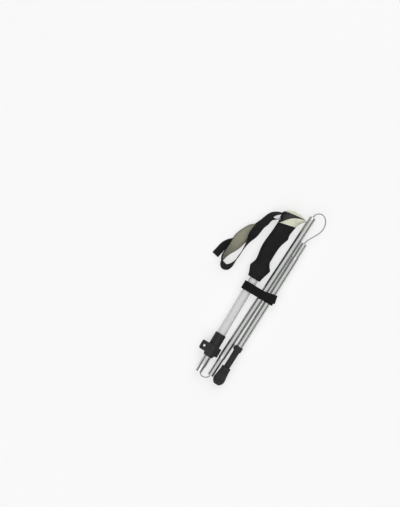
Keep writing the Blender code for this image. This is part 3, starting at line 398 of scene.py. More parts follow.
ease = np.linspace(0.0, math.pi / 2.0, 7)
body = np.linspace(GRIP_EDGE, GRIP_LENGTH - GRIP_TOP_EDGE, GRIP_ROWS)[1:-1]
bottom_edge = together(1 - (1 - GRIP_EDGE_SHARE) * (1 - np.sin(ease)), GRIP_EDGE * (1 - np.cos(ease)))
top_edge = together(1 - (1 - GRIP_TOP_EDGE_SHARE) * (1 - np.cos(ease)),
                    GRIP_LENGTH - GRIP_TOP_EDGE * (1 - np.sin(ease)))
share, station = np.concatenate([
    [(0.0, 0.0), (GRIP_FACE_SHARE, 0.0)], bottom_edge, together(1.0, body), top_edge,
    [(GRIP_FACE_SHARE, GRIP_LENGTH), (0.0, GRIP_LENGTH)],
]).T
grip = skin("eva_foam_grip", grip_surface(share, station, full_turn(GRIP_STEPS)), foam, True)
stands_for(grip, "handle", "black_foam", "foam_grip")


# The head: three mouldings that follow one rounded form. The cream base is plugged into the
# tube and carries the beak, the black wedge above it grips the strap, and a cap closes it.
HEAD_GAP = 0.00005
HEAD_SQUARENESS = 2.2
HEAD_EDGE = 0.05
HEAD_STEPS = 160
WEDGE_STEPS = 240
LAST_ROW = 7.0
FACE_SHARE = 0.94
PLUG_RADIUS = 0.0080
PLUG_ENDS = (-0.014, 0.009)
PLUG_EDGE = 0.0008
PLUG_STEPS = 96
CREAM = ((0.700, 0.712, 0.560), (0.600, 0.612, 0.468))
NYLON = ((0.0165, 0.0155, 0.0168), (0.0270, 0.0258, 0.0270))
# Row, left side, right side as a share of the beak's, their two stations, and half depth.
HEAD_SECTIONS = np.array([
    (0, -17.2, 0.6389, 1.1, 9.8, 13.3), (1, -18.2, 0.7118, 8.5, 16.8, 14.0),
    (2, -19.6, 0.8611, 16.0, 23.5, 14.2), (3, -19.6, 1.0000, 22.0, 28.3, 13.6),
    (4, -16.5, 0.9444, 27.8, 31.8, 11.8), (5, -10.0, 0.7118, 32.2, 34.8, 8.2),
    (6, -2.0, 0.4167, 35.2, 36.2, 3.5), (7, 2.7, 0.1500, 36.1, 36.1, 0.0),
]) * [1.0, 0.001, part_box("head_base")[1].x - tube_top[0], 0.001, 0.001, 0.001]
# The seams of the front view, as (x, station) in millimetres.
CREST = np.array([
    (-24.0, -8.5), (-14.0, 2.8), (-10.0, 7.2), (-5.0, 13.6), (0.0, 19.0), (5.0, 22.8),
    (10.0, 25.8), (16.0, 28.4), (22.5, 30.2), (38.0, 31.6),
]) * 0.001
CAP_EDGE = np.array([
    (-26.0, 24.0), (-16.0, 26.6), (-9.0, 28.0), (0.0, 29.4), (8.0, 30.4), (16.0, 31.2),
    (23.0, 31.6), (38.0, 32.2),
]) * 0.001
# Each slot's middle, and the strap's way in.
STRAP_SLOTS = [(-0.0196, 0.0201, 0.857, 0.514), (-0.0180, 0.0081, 0.788, 0.615)]
SLOT_HALF_WIDTH = 0.00135
SLOT_HALF_HEIGHT = 0.0097
SLOT_DEPTH = 0.0035
SLOT_LIMIT = -0.010


def head_form(t, turn):
    """The whole head: an oval between its left and right sides, in rows from 0 to 7.

    Each side has a station of its own, and the station goes straight from one to the other
    across the oval. The last row is a single point.
    """
    left, right, left_station, right_station, depth = np.moveaxis(eased(HEAD_SECTIONS, t), -1, 0)
    across, deep = oval(turn, HEAD_SQUARENESS)
    station = HEAD_GAP + left_station + (right_station - left_station) * (1 + across) / 2.0
    return together((left + right) / 2.0 + (right - left) / 2.0 * across, station, depth * deep)


def cut_at(line, turn, offset=0.0):
    """The row at which the head crosses a line of the front view, for each turn.

    The line's station less the form's falls through zero there, between two of many rows.
    """
    t = np.linspace(0.0, LAST_ROW, 701)
    form = head_form(t[:, None], turn)
    above = form[..., 1] - eased(line, form[..., 0])[..., 0] - offset
    first = np.argmax(above > 0.0, axis=0)
    before = np.maximum(first - 1, 0)
    now, last = (np.take_along_axis(above, row[None], 0)[0] for row in (first, before))
    part = np.where(first > 0, last / np.minimum(last - now, -1e-12), 0.0)
    return t[before] + t[1] * np.clip(part, 0.0, 1.0)


def head_part(name, low, high, turn, finish, closed=True, roof=True, floor=True, count=60, shaped=None):
    """The head's form between two rows for each turn, closed front to back.

    A cut face keeps the x and the station of its edge, and its depth goes to 0 in the
    middle. The corner between the form and a cut face is a quadratic curve. Shaped, where
    given, moves the points of the form. The rows are turned over before each of the two
    faces, so that a face always follows the last row.
    """
    inset = np.minimum(HEAD_EDGE, (high - low) * 0.4)
    start, end = low + inset * floor, high - inset * roof
    rows = head_form(start + (end - start) * np.linspace(0.0, 1.0, count)[:, None], turn)
    if shaped:
        rows = shaped(rows)
    t = np.linspace(0.0, 1.0, 6)[1:, None, None]
    flat = together(1.0, 1.0, np.linspace(FACE_SHARE, 0.0, 9)[1:, None])
    for cut, wanted in ((low, floor), (high, roof)):
        rows = rows[::-1]
        if wanted:
            corner = head_form(cut, turn)
            bend = quadratic(t, rows[-1], corner, corner * [1.0, 1.0, FACE_SHARE])
            rows = np.concatenate([rows, bend, corner * flat])
    return skin(name, from_top(rows), finish, closed_columns=closed, sharp=50.0)


def with_strap_slots(points):
    """The wedge's surface sunk into two slots that the strap runs in and out of.

    A slot's share is near 1 within its half width and its half height and falls off steeply
    beyond them. It moves the surface along the strap's own way in.
    """
    x, y, z = np.moveaxis(points, -1, 0)
    height = np.exp(-(z / SLOT_HALF_HEIGHT) ** 24)
    for middle_x, middle_y, way_x, way_y in STRAP_SLOTS:
        off = (y - middle_y) * way_x - (x - middle_x) * way_y
        share = height * np.exp(-(off / SLOT_HALF_WIDTH) ** 8) * (x < SLOT_LIMIT)
        points = points + share[..., None] * [SLOT_DEPTH * way_x, SLOT_DEPTH * way_y, 0.0]
    return points


def mottled(name, tones, spots, gloss, grain=None, **constants):
    """A finish of two tones in soft spots, with an uneven gloss and a fine grain.

    All are noise, of a scale and a detail each. Spots and gloss add a range, between whose
    ends the tones change and the roughness stays, and the grain adds its depth.
    """
    made, shader, place = finish_of(name, **constants)
    wire_up(shader, Base_Color=place.noise(*spots[:2]).range(*spots[2:]).blend(*tones),
            Roughness=place.noise(*gloss[:2]).range(0.3, 0.7, *gloss[2:]))
    if grain:
        wire_up(shader, Normal=place.noise(*grain[:2]).bump(grain[2]))
    return made


cream_plastic = mottled("cream_plastic", CREAM, (45.0, 4.0, 0.45, 0.8), (240.0, 3.0, 0.38, 0.50),
                        (2600.0, 2.0, 0.00002), Specular_IOR_Level=0.45)
nylon = mottled("moulded_nylon", NYLON, (60.0, 5.0, 0.45, 0.8), (180.0, 4.0, 0.46, 0.60),
                (3000.0, 2.0, 0.00004), Specular_IOR_Level=0.34)

half_round = np.linspace(0.0, math.pi, 721)
crest_start = half_round[np.argmax(cut_at(CREST, half_round) <= 0.0)]
front_turns = np.linspace(-crest_start, crest_start, HEAD_STEPS)
base = head_part("cream_head_base", np.zeros(HEAD_STEPS), cut_at(CREST, front_turns), front_turns,
                 cream_plastic, closed=False)
stands_for(base, "handle", "cream_plastic", "head_base")
low, high = PLUG_ENDS
plug_profile = soften([(low, 0.0), (low, PLUG_RADIUS), (high, PLUG_RADIUS), (high, 0.0)], PLUG_EDGE)
plug = turned("cream_head_plug", plug_profile, tube_top, ALONG, cream_plastic, PLUG_STEPS)
stands_for(plug, "handle", "cream_plastic", "head_base")

turns = full_turn(WEDGE_STEPS)
wedge = head_part("nylon_strap_wedge", cut_at(CREST, turns, HEAD_GAP), cut_at(CAP_EDGE, turns, -HEAD_GAP),
                  turns, nylon, count=150, shaped=with_strap_slots)
stands_for(wedge, "handle", "black_nylon", "strap_wedge")

turns = full_turn(HEAD_STEPS)
cap = head_part("cream_head_cap", cut_at(CAP_EDGE, turns), np.full(HEAD_STEPS, LAST_ROW), turns,
                cream_plastic, roof=False)
stands_for(cap, "handle", "cream_plastic", "head_cap")


# The strap pin: a steel cross pin, pressed into the wedge before the cap goes on. The strap
# turns round it, so that it can be pulled to length and locks when the wedge is let go.
STEEL = ((0.66, 0.66, 0.65), (0.52, 0.52, 0.51))
steel = mottled("steel", STEEL, (90.0, 5.0, 0.4, 0.8), (500.0, 3.0, 0.20, 0.36), Metallic=1.0)


def dress(node, finish):
    """A CAD node that is hardly seen keeps its shape and takes a finish."""
    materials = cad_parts[node].data.materials
    materials.clear()
    materials.append(finish)


dress("strap_pin", steel)


# The wrist strap: one loop of woven webbing, from the wedge's upper slot round to its lower
# one. The part at the hand has a padded lining, sewn on along both edges.
STRAP_WIDTH = 0.018
STRAP_THICKNESS = 0.0016
STRAP_EDGE = 0.0006
STRAP_STEP = 0.0012
STRAP_PIN_PLACE = np.array([-0.0045, 0.022])
STRAP_PIN_RADIUS = 0.0026
STRAP_PIN_SPAN = (-52.0, 100.0)
LINING_WIDTH = 0.024
LINING_TAPER = 0.010
LINING_TAPER_LENGTH = 0.016
LINING_THICKNESS = 0.0020
LINING_EDGE_THICKNESS = 0.0014
LINING_EDGE = 0.0005
LINING_CROWN = 0.0007
LINING_GAP = 0.0003
LINING_ROWS = (23, 34)
BINDING_HALF_SIZE = (0.0007, 0.0010)
SEAM_INSET = 0.0022
SEAM_SINK = 0.0001
SEAM_ROWS = slice(8, -6, 3)
SEAM_REACH = 0.4
STITCH_LENGTH = 0.0024
STITCH_RADIUS = 0.00024
WEBBING = ((0.0090, 0.0090, 0.0096), (0.0200, 0.0196, 0.0208))
LINING = ((0.262, 0.250, 0.188), (0.345, 0.333, 0.262))
THREAD = ((0.020, 0.019, 0.019), (0.040, 0.038, 0.037))
# Places from the tube's top end in millimetres, and the strap's roll in degrees.
STRAP_ROUTE = np.array([
    (-4.951, 24.56, 0.0, 90), (-12.0, 23.317, 0.0, 90), (-16.5, 22.0, 0.0, 86),
    (-20.5, 19.6, 0.2, 80), (-25.0, 16.9, 0.6, 72), (-30.0, 13.1, 1.2, 66), (-34.2, 8.0, 2.0, 56),
    (-36.8, 1.7, 2.8, 46), (-38.9, -5.0, 3.1, 42), (-40.8, -12.0, 3.3, 37),
    (-42.7, -19.5, 3.5, 25), (-44.2, -27.0, 3.5, 11), (-45.2, -34.5, 3.3, -2),
    (-46.1, -42.0, 2.8, -16), (-47.0, -50.0, 2.0, -38), (-47.6, -59.0, 1.0, -63),
    (-47.8, -68.0, 0.3, -79), (-48.1, -77.0, -0.2, -86), (-48.5, -88.0, -0.7, -90),
    (-49.5, -101.0, -1.2, -90), (-50.8, -111.0, -1.6, -80), (-53.4, -119.7, -1.9, -64),
    (-58.0, -125.8, -2.1, -52), (-63.8, -127.6, -2.2, -54), (-69.4, -125.3, -2.3, -70),
    (-73.8, -119.4, -2.4, -92), (-75.4, -109.5, -2.6, -108), (-73.4, -97.5, -3.5, -120),
    (-69.6, -85.5, -5.0, -138), (-66.4, -74.0, -6.8, -160), (-63.8, -63.5, -8.0, -178),
    (-59.8, -53.0, -8.0, -182), (-54.8, -43.5, -8.0, -184), (-49.6, -35.0, -7.9, -187),
    (-45.4, -26.5, -7.7, -192), (-42.0, -18.0, -7.3, -199), (-38.2, -10.2, -6.6, -210),
    (-33.8, -3.8, -5.4, -230), (-29.2, 0.4, -3.7, -252), (-25.0, 3.0, -1.9, -265),
    (-21.3, 5.575, -0.6, -269), (-17.5, 8.543, 0.0, -270), (-12.0, 12.84, 0.0, -270),
    (-2.899, 19.951, 0.0, -270),
]) * [0.001, 0.001, 0.001, 1.0]


def even_route(route, step):
    """A smooth curve through points, read at even steps of its length, and each point's mark.

    The curve's own station is the summed root of the chords. The mark is the length at which
    the curve passes the point.
    """
    chord = np.sqrt(np.linalg.norm(np.diff(route[:, :3], axis=0), axis=1))
    knots = np.append(0.0, np.cumsum(chord))
    dense = np.linspace(0.0, knots[-1], 4000)
    line = eased(np.column_stack([knots, route]), dense)
    run = np.append(0.0, np.cumsum(np.linalg.norm(np.diff(line[:, :3], axis=0), axis=1)))
    stops = np.linspace(0.0, run[-1], round(run[-1] / step) + 1)
    return together(*(np.interp(stops, run, column) for column in line.T)), np.interp(knots, dense, run)


def strip_frames(places, rolls=0.0, closed=False):
    """The along, outward and across directions of a strip, at each of its places.

    Along is the slope of the places. At a roll of 0 outward is up, and at a quarter turn it
    points to the right of the way. Across is square to both.
    """
    along = unit(np.roll(places, -1, 0) - np.roll(places, 1, 0) if closed else np.gradient(places, axis=0))
    side = unit(np.cross(along, UP))
    rolls = np.radians(np.broadcast_to(rolls, len(places)))[:, None]
    outward = np.cross(side, along) * np.cos(rolls) + side * np.sin(rolls)
    return np.stack([along, outward, np.cross(outward, along)])


def swept(name, places, frames, section, finish, closed=False, width=1.0):
    """A strip: each place, plus the section's first number across and its second outward.

    The width, one value or one for every place, scales the section's first number. An open
    strip has a flat face at either end.
    """
    outward, across = frames[1:, :, None]
    u = section[:, 0] * np.broadcast_to(width, len(places))[:, None]
    grid = places[:, None] + across * u[..., None] + outward * section[:, 1, None]
    return skin(name, grid, finish, closed, close=None if closed else bmesh.ops.holes_fill)


def strap_section(width, thickness, edge, count=9, crown=0.0):
    """A flat strap's section: a rectangle with eased corners and a crown on its inner side."""
    u = np.linspace(-0.5, 0.5, count) * width
    below = -thickness / 2.0 - crown * (1.0 - (u[::-1] / width * 2.0) ** 4)
    return soften(np.concatenate([together(u, thickness / 2.0), together(u[::-1], below)]), edge, True, 4)


def stitches(name, places, along, up, body="handle"):
    """A row of sewing stitches: one small capsule at each place, sunk by half its radius.

    A capsule is a half circle's profile, stretched to the length and carried round in six
    steps. Every capsule is the same one, turned to its place's own directions.
    """
    bend = np.linspace(0.0, math.pi, 7)[:, None]
    reach = STITCH_RADIUS * np.sin(bend)
    shift = np.sign(-np.cos(bend)) * (STITCH_LENGTH / 2.0 - STITCH_RADIUS) - np.cos(bend) * STITCH_RADIUS
    turn = full_turn(6)
    one = together(shift, reach * np.cos(turn), reach * np.sin(turn) + STITCH_RADIUS / 2.0)
    axes = np.stack(np.broadcast_arrays(along, np.cross(up, along), up, places)[:3], axis=1)
    every = places[:, None, None] + np.einsum("rck,nkj->nrcj", one, axes)
    row, column = quads(len(bend), len(turn))
    faces = row * len(turn) + column % len(turn)
    faces = faces + np.arange(len(places))[:, None, None, None] * len(bend) * len(turn)
    return stands_for(piece_of(name, every, faces, thread, sharp=180.0), body, "black_webbing")


def woven(name, tones, pitch, depth, **constants):
    """A woven finish: two sets of ribs crossing in the skin's own lengths.

    The height is the product of two waves, one along and one across, and the fuzz is noise.
    """
    made, shader, place = finish_of(name, **constants)
    on_skin = place.node("ShaderNodeTexCoord", {}, {}, "UV")
    u, v = (on_skin.part(way) * (2.0 * math.pi / pitch) for way in (0, 1))
    height = (u.math("SINE") * v.math("SINE")) * 0.5 + 0.5
    fuzz = place.noise(1500.0, 3.0)
    wire_up(shader, Base_Color=(height * 0.5 + fuzz * 0.5).range(0.35, 0.8).blend(*tones),
            Normal=(height * 0.8 + fuzz * 0.3).bump(depth))
    return made


def arc(turns, radius=1.0):
    """Points round a middle: the radius times the cosine and the sine of each turn."""
    return together(np.cos(turns), np.sin(turns)) * radius


webbing = woven("webbing", WEBBING, 0.0016, 0.00022, Roughness=0.88, Specular_IOR_Level=0.18)
lining = woven("lining_cloth", LINING, 0.0011, 0.00012, Roughness=0.92, Specular_IOR_Level=0.20)
thread = woven("thread", THREAD, 0.0006, 0.00005, Roughness=0.80)

route, marks = even_route(STRAP_ROUTE, STRAP_STEP)
back = STRAP_PIN_PLACE + arc(np.radians(np.linspace(*STRAP_PIN_SPAN, 14)[1:-1]), STRAP_PIN_RADIUS)
loop = np.concatenate([route, together(*back.T, 0.0, 90.0)])
places = loop[:, :3]
frames = strip_frames(places, loop[:, 3], closed=True)
strap = swept("webbing_wrist_strap", from_top(places), frames,
              strap_section(STRAP_WIDTH, STRAP_THICKNESS, STRAP_EDGE), webbing, closed=True)
stands_for(strap, "handle", "black_webbing", "strap_webbing")

lined = slice(round(marks[LINING_ROWS[0]] / STRAP_STEP), round(marks[LINING_ROWS[1]] / STRAP_STEP) + 1)
frames = frames[:, lined]
along, outward, across = frames
from_end = np.arange(len(along)) * STRAP_STEP
from_end = np.minimum(from_end, from_end[::-1])
share = 1.0 - LINING_TAPER / LINING_WIDTH * np.clip(1.0 - from_end / LINING_TAPER_LENGTH, 0.0, 1.0) ** 2
middle = places[lined] - outward * ((STRAP_THICKNESS + LINING_THICKNESS) / 2.0 + LINING_GAP)
pad_section = strap_section(LINING_WIDTH, LINING_EDGE_THICKNESS, LINING_EDGE, 17, LINING_CROWN)
pad = swept("padded_strap_lining", from_top(middle), frames, pad_section, lining, width=share)
stands_for(pad, "handle", "khaki_lining", "strap_lining")

for side, label in ((-1.0, "left"), (1.0, "right")):
    edge = side * share[:, None] * LINING_WIDTH / 2.0
    binding = swept("strap_binding_" + label, from_top(middle + across * edge), frames,
                    arc(full_turn(12)) * BINDING_HALF_SIZE, webbing)
    stands_for(binding, "handle", "black_webbing")
    sewn = middle + across * (edge - side * SEAM_INSET) - outward * (LINING_THICKNESS / 2.0 - SEAM_SINK)
    stitches("lining_stitches_" + label, from_top(sewn[SEAM_ROWS]), along[SEAM_ROWS], -outward[SEAM_ROWS])


# The strap's loose end: what is left of the webbing after the wedge, drawn out from behind
# the lining. Its tip is folded back on itself and sewn down.
TAIL_WIDTH = 0.015
HEM_LENGTH = 0.011
HEM_WIDTH = 0.0144
HEM_THICKNESS = 0.0012
HEM_EDGE = 0.0005
HEM_LIFT = 0.0013
HEM_SEAM_LIFT = 0.0019
TAIL_ROUTE = np.array([
    (-58.5, -52.0, -10.0), (-61.3, -61.5, -10.3), (-65.8, -70.0, -11.2), (-72.3, -76.5, -11.8),
    (-79.3, -83.5, -12.2), (-84.3, -92.0, -12.4), (-86.8, -102.5, -12.6), (-89.8, -116.8, -12.6),
]) * 0.001

places = even_route(TAIL_ROUTE, STRAP_STEP)[0]
frames = strip_frames(places)
tail = swept("webbing_strap_tail", from_top(places), frames,
             strap_section(TAIL_WIDTH, STRAP_THICKNESS, STRAP_EDGE), webbing)
stands_for(tail, "handle", "black_webbing", "strap_tail")

along, outward, across = frames
hem = slice(-round(HEM_LENGTH / STRAP_STEP), None)
fold = swept("strap_tail_hem", from_top((places + outward * HEM_LIFT)[hem]), frames[:, hem],
             strap_section(HEM_WIDTH, HEM_THICKNESS, HEM_EDGE), webbing)
stands_for(fold, "handle", "black_webbing")
seam = np.linspace(-SEAM_REACH, SEAM_REACH, 5)[:, None] * TAIL_WIDTH
for row, label in ((hem.start + 1, "inner"), (-3, "outer")):
    sewn = places[row] + outward[row] * HEM_SEAM_LIFT + across[row] * seam
    stitches("hem_stitches_" + label, from_top(sewn), across[row], outward[row])


# The flip lock's collar: moulded nylon, glued on the white tube's lower end. Below the tube
# it is split, and two lugs beside the split let the lever draw it tight on the inner tube.
CLAMP_BOTTOM = -0.295
CLAMP_TOP = -0.244
COLLAR_RADIUS = 0.0112
COLLAR_FOOT = (0.0090, 0.0093)
COLLAR_LEAD = 0.0004
COLLAR_TAPER = 0.005
COLLAR_BORE = 0.0083
SLEEVE_BORE = 0.0093
SPLIT_TOP = -0.2696
SPLIT_HALF = 0.001
LUG_BOTTOM = -0.289
LUG_TOP = -0.2703
LUG_REACH = 0.0245
LUG_OUTSIDE = 0.005
LUG_ROUNDING = 0.0035
MOULD_EDGE = 0.0006
# How far apart two rows lie where an outline steps from one form to the next.
STEP_GAP = 1e-6


def split_section(radius, reach):
    """A split collar's outline, from the split's upper face once round to its lower one.

    It is the bore's arc, the split's face out to the lug's end, the lug's end and its outer
    face, and the outside's arc. A reach of 0 leaves no lug: its points then lie on the arc.
    """
    bore_turn = math.pi - math.asin(SPLIT_HALF / COLLAR_BORE)
    depth = np.linspace(SPLIT_HALF, LUG_OUTSIDE, 10)
    end = -np.maximum(reach, np.sqrt(radius ** 2 - depth ** 2))
    face = np.linspace(end[-1], -math.sqrt(radius ** 2 - LUG_OUTSIDE ** 2), 12)[1:-1]
    lug = np.concatenate([together(end, depth), together(face, LUG_OUTSIDE)])
    outer_turn = math.pi - math.asin(LUG_OUTSIDE / radius)
    return np.concatenate([arc(np.linspace(bore_turn, -bore_turn, 60), COLLAR_BORE), lug * [1.0, -1.0],
                           arc(np.linspace(-outer_turn, outer_turn, 70), radius), lug[::-1]])


def lug_reach(station):
    """How far the lugs stand out at a station: a quarter circle rounds each outer corner."""
    end = np.minimum(station - LUG_BOTTOM, LUG_TOP - station)
    corner = LUG_ROUNDING - np.clip(end, 0.0, LUG_ROUNDING)
    return np.where(end < 0.0, 0.0, LUG_REACH - LUG_ROUNDING + np.sqrt(LUG_ROUNDING ** 2 - corner ** 2))


lug_corner = LUG_ROUNDING * (1.0 - np.cos(np.linspace(0.0, math.pi / 2.0, 8)))
stations = np.concatenate([
    CLAMP_BOTTOM + np.array([0.0, COLLAR_LEAD, COLLAR_TAPER / 2.0, COLLAR_TAPER]), [LUG_BOTTOM - STEP_GAP],
    LUG_BOTTOM + lug_corner, np.linspace(LUG_BOTTOM + LUG_ROUNDING, LUG_TOP - LUG_ROUNDING, 8)[1:-1],
    (LUG_TOP - lug_corner)[::-1], [LUG_TOP + STEP_GAP, SPLIT_TOP],
])
radii = np.interp(stations - CLAMP_BOTTOM, [0.0, COLLAR_LEAD, COLLAR_TAPER], [*COLLAR_FOOT, COLLAR_RADIUS])
sections = np.stack([split_section(radius, reach) for radius, reach in zip(radii, lug_reach(stations))])
collar_grid = from_top(together(sections[..., 0], stations[:, None], sections[..., 1]))
collar = skin("nylon_split_collar", collar_grid, nylon, sharp=30.0, close=bmesh.ops.holes_fill)
stands_for(collar, "handle", "black_nylon", "clamp_collar")

sleeve_length = CLAMP_TOP - SPLIT_TOP
sleeve_profile = [
    (0.0, COLLAR_RADIUS), (sleeve_length - MOULD_EDGE, COLLAR_RADIUS),
    (sleeve_length - 0.3 * MOULD_EDGE, COLLAR_RADIUS - 0.3 * MOULD_EDGE),
    (sleeve_length, COLLAR_RADIUS - MOULD_EDGE), (sleeve_length, SLEEVE_BORE), (0.0, SLEEVE_BORE),
]
sleeve = turned("nylon_collar_sleeve", sleeve_profile, from_top((0.0, SPLIT_TOP, 0.0)), ALONG, nylon)
stands_for(sleeve, "handle", "black_nylon", "clamp_collar")


# The tension screw, its nut and the barrel pin: turned steel. The screw runs through both
# lugs and up through the pin, and sets how hard the closed lever draws the lugs together.
SCREW_X = -0.0165
SCREW_Y = (LUG_BOTTOM + LUG_TOP) / 2.0
SCREW_RADIUS = 0.002
SCREW_EDGE = 0.0003
SOCKET_SIZE = 0.0009
NUT_BORE = 0.0023
NUT_RADIUS = 0.0045
NUT_HEIGHT = 0.0040
NUT_EDGE = 0.0005
PIN_RADIUS = 0.0026
PIN_HEIGHT = 0.0095
PIN_SPARE = 0.0002
PIN_LENGTH = LUG_TOP - LUG_BOTTOM + PIN_SPARE
PIN_EDGE = 0.0004
SMALL_STEPS = 48
BRIGHT_STEEL = ((0.86, 0.86, 0.85), (0.74, 0.74, 0.73))

bright_steel = mottled("bright_steel", BRIGHT_STEEL, (300.0, 4.0, 0.4, 0.8), (700.0, 3.0, 0.22, 0.34),
                       Metallic=1.0)
screw_low, screw_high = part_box("tension_screw")
top = screw_high.z - screw_low.z
screw_profile = soften([(0.0, 0.0), (0.0, SCREW_RADIUS), (top, SCREW_RADIUS), (top, SOCKET_SIZE),
                        (top - SOCKET_SIZE, SOCKET_SIZE), (top - SOCKET_SIZE, 0.0)], SCREW_EDGE)
foot = from_top((SCREW_X, SCREW_Y, 0.0))
foot[2] = screw_low.z
screw = turned("steel_tension_screw", screw_profile, foot, UP, bright_steel, SMALL_STEPS)
stands_for(screw, "handle", "steel", "tension_screw")

nut_profile = soften([(0.0, NUT_BORE), (0.0, NUT_RADIUS), (NUT_HEIGHT, NUT_RADIUS), (NUT_HEIGHT, NUT_BORE)],
                     NUT_EDGE, True)
foot[2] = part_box("tension_nut")[0].z
nut = turned("steel_tension_nut", nut_profile, foot, UP, steel, SMALL_STEPS)
stands_for(nut, "handle", "steel", "tension_nut")

pin_profile = soften([(0.0, 0.0), (0.0, PIN_RADIUS), (PIN_LENGTH, PIN_RADIUS), (PIN_LENGTH, 0.0)], PIN_EDGE)
foot = from_top((SCREW_X, SCREW_Y - PIN_LENGTH / 2.0, PIN_HEIGHT))
pin = turned("steel_barrel_pin", pin_profile, foot, ALONG, steel, SMALL_STEPS)
stands_for(pin, "handle", "steel", "lever_pin")


# The flip lock's lever: moulded nylon, forked round the screw, with a cam at its root that
# presses the front lug. Closed, its arm wraps the front of the collar.
LEVER_THICKNESS = 0.0029
LEVER_INSIDE = 0.0117
LEVER_TIP = [(0.0150, 0.0012), (0.0168, 0.0014), (0.0168, 0.0030)]
LEVER_TIP_EDGE = 0.0008
LEVER_ROUNDING = 0.0014
LEVER_HALF = (LUG_TOP - LUG_BOTTOM) / 2.0
CAM_RADIUS = 0.0042
CAM_LIFT = 0.0006
CAM_CLOSED = 270.0
CAM_TURN = 110.0
CAM_SPAN = (95.0, 308.0)
ARM_INNER_SPAN = (134.0, 10.0)
ARM_OUTER_SPAN = (20.0, 112.0)
CAM_MIDDLE = np.array([SCREW_X, PIN_HEIGHT])
FORK_HALF = 0.0025
FORK_RADIUS = 0.0047
FORK_TURN = math.radians(-22.0)
FORK_SPREAD = np.radians([-62.0, 75.0])


def lever_outline():
    """The lever from its end: the cam round the pin, then the arm's inner side, tip and back.

    The cam's radius falls by a cosine from the closed side to the open one. The arm lies
    between two circles round the stick's axis.
    """
    turn = np.linspace(*CAM_SPAN, 60)
    opened = np.clip(CAM_CLOSED - turn, 0.0, CAM_TURN) * math.pi / CAM_TURN
    reach = CAM_RADIUS - CAM_LIFT * (0.5 - 0.5 * np.cos(opened))
    under = np.radians(np.linspace(*ARM_INNER_SPAN, 60))
    over = np.radians(np.linspace(*ARM_OUTER_SPAN, 50))
    tip = soften(LEVER_TIP, LEVER_TIP_EDGE)[4:-4]
    return np.concatenate([CAM_MIDDLE + arc(np.radians(turn), reach[:, None]), arc(under, LEVER_INSIDE),
                           tip, arc(over, LEVER_INSIDE + LEVER_THICKNESS)])


def inset(outline, depth):
    """A closed outline moved inwards by a depth along its own normals."""
    after = np.roll(outline, -1, axis=0)
    edge = after - outline
    edge /= np.maximum(np.linalg.norm(edge, axis=1, keepdims=True), 1e-12)
    normal = together(-edge[:, 1], edge[:, 0])
    area = np.sum(outline[:, 0] * after[:, 1] - outline[:, 1] * after[:, 0])
    both = normal + np.roll(normal, 1, axis=0)
    both /= np.maximum(np.sum(both * both, axis=1, keepdims=True) / 2.0, 0.4)
    return outline + math.copysign(depth, area) * both


def forked(outline):
    """The lever's outline with its cam cut back to the fork's arc."""
    offset = outline - CAM_MIDDLE
    reach = np.linalg.norm(offset, axis=1, keepdims=True)
    turn = np.arctan2(offset[:, 1], offset[:, 0]) - FORK_TURN
    turn = (turn + math.pi) % (2.0 * math.pi) - math.pi
    cut = arc(np.clip(turn, *FORK_SPREAD) + FORK_TURN, FORK_RADIUS)
    return CAM_MIDDLE + np.where(reach < FORK_RADIUS, cut, offset)


outline = lever_outline()
round_in = np.linspace(0.0, math.pi / 2.0, 6)
rows = [(LEVER_HALF - shift, inset(outline, depth))
        for depth, shift in LEVER_ROUNDING * (1.0 - together(np.sin(round_in), np.cos(round_in)))]
rows += [(FORK_HALF + STEP_GAP, outline), (FORK_HALF, forked(outline))]
rows = [(-side, ring) for side, ring in rows] + rows[::-1]
lever_grid = np.stack([together(ring[:, 0], SCREW_Y + side, ring[:, 1]) for side, ring in rows])
lever = skin("nylon_cam_lever", from_top(lever_grid), nylon, sharp=35.0, close=bmesh.ops.holes_fill)
stands_for(lever, "clamp_lever", "black_nylon", "clamp_lever")


# The adjusting tube: 16 mm aluminium, drawn and polished. The flip lock grips it, and a
# length scale is printed on the part that can be drawn out.
POLISH = ((0.615, 0.628, 0.615), (0.500, 0.510, 0.500))
INK = (0.02, 0.02, 0.02)
SCALE_START = -0.24
SCALE_PITCH = 0.010
SCALE_TICK = 0.0010
SCALE_TURNS = (0.22, 0.42)


def polished(name, ink=None):
    """Drawn and polished aluminium: fine streaks along the tube, and a few dull spots.

    The streaks are noise stretched along Y. The ink, where given, is a function from the
    coordinates to a wire that is 1 where the print lies.
    """
    made, shader, place = finish_of(name, Metallic=1.0)
    streaks = place.noise(900.0, 4.0, (1.0, 0.012, 1.0))
    handled = place.noise(26.0, 5.0).range(0.5, 0.8)
    color = (streaks.range(0.3, 0.8) * 0.25 + handled * 0.3).blend(*POLISH)
    rough = streaks.range(0.3, 0.7, 0.24, 0.32) + handled * 0.05
    if ink:
        printed = ink(place)
        color = printed.blend(color, INK)
        rough = rough + printed * 0.3
        wire_up(shader, Metallic=1.0 - printed)
    wire_up(shader, Base_Color=color, Roughness=rough, Normal=streaks.bump(0.000003))
    return made


def scale_ink(place):
    """A tick every centimetre on the tube's right side, the fifth ones longer."""
    x, y, z = (place.part(way) - float(start) for way, start in enumerate(from_top((0.0, SCALE_START, 0.0))))
    off = z.math("ARCTAN2", x).math("ABSOLUTE")
    fine, long = ((y * (often / SCALE_PITCH)).math("FRACT") < often * SCALE_TICK / SCALE_PITCH
                  for often in (1.0, 0.2))
    return (fine * (off < SCALE_TURNS[0])).math("MAXIMUM", long * (off < SCALE_TURNS[1]))


aluminium = polished("polished_aluminium")
scaled = polished("scaled_aluminium", scale_ink)
stands_for(tube("aluminium_adjusting_tube", "adjusting_tube", ALONG, scaled), "adjusting_tube",
           "polished_aluminium", "adjusting_tube")


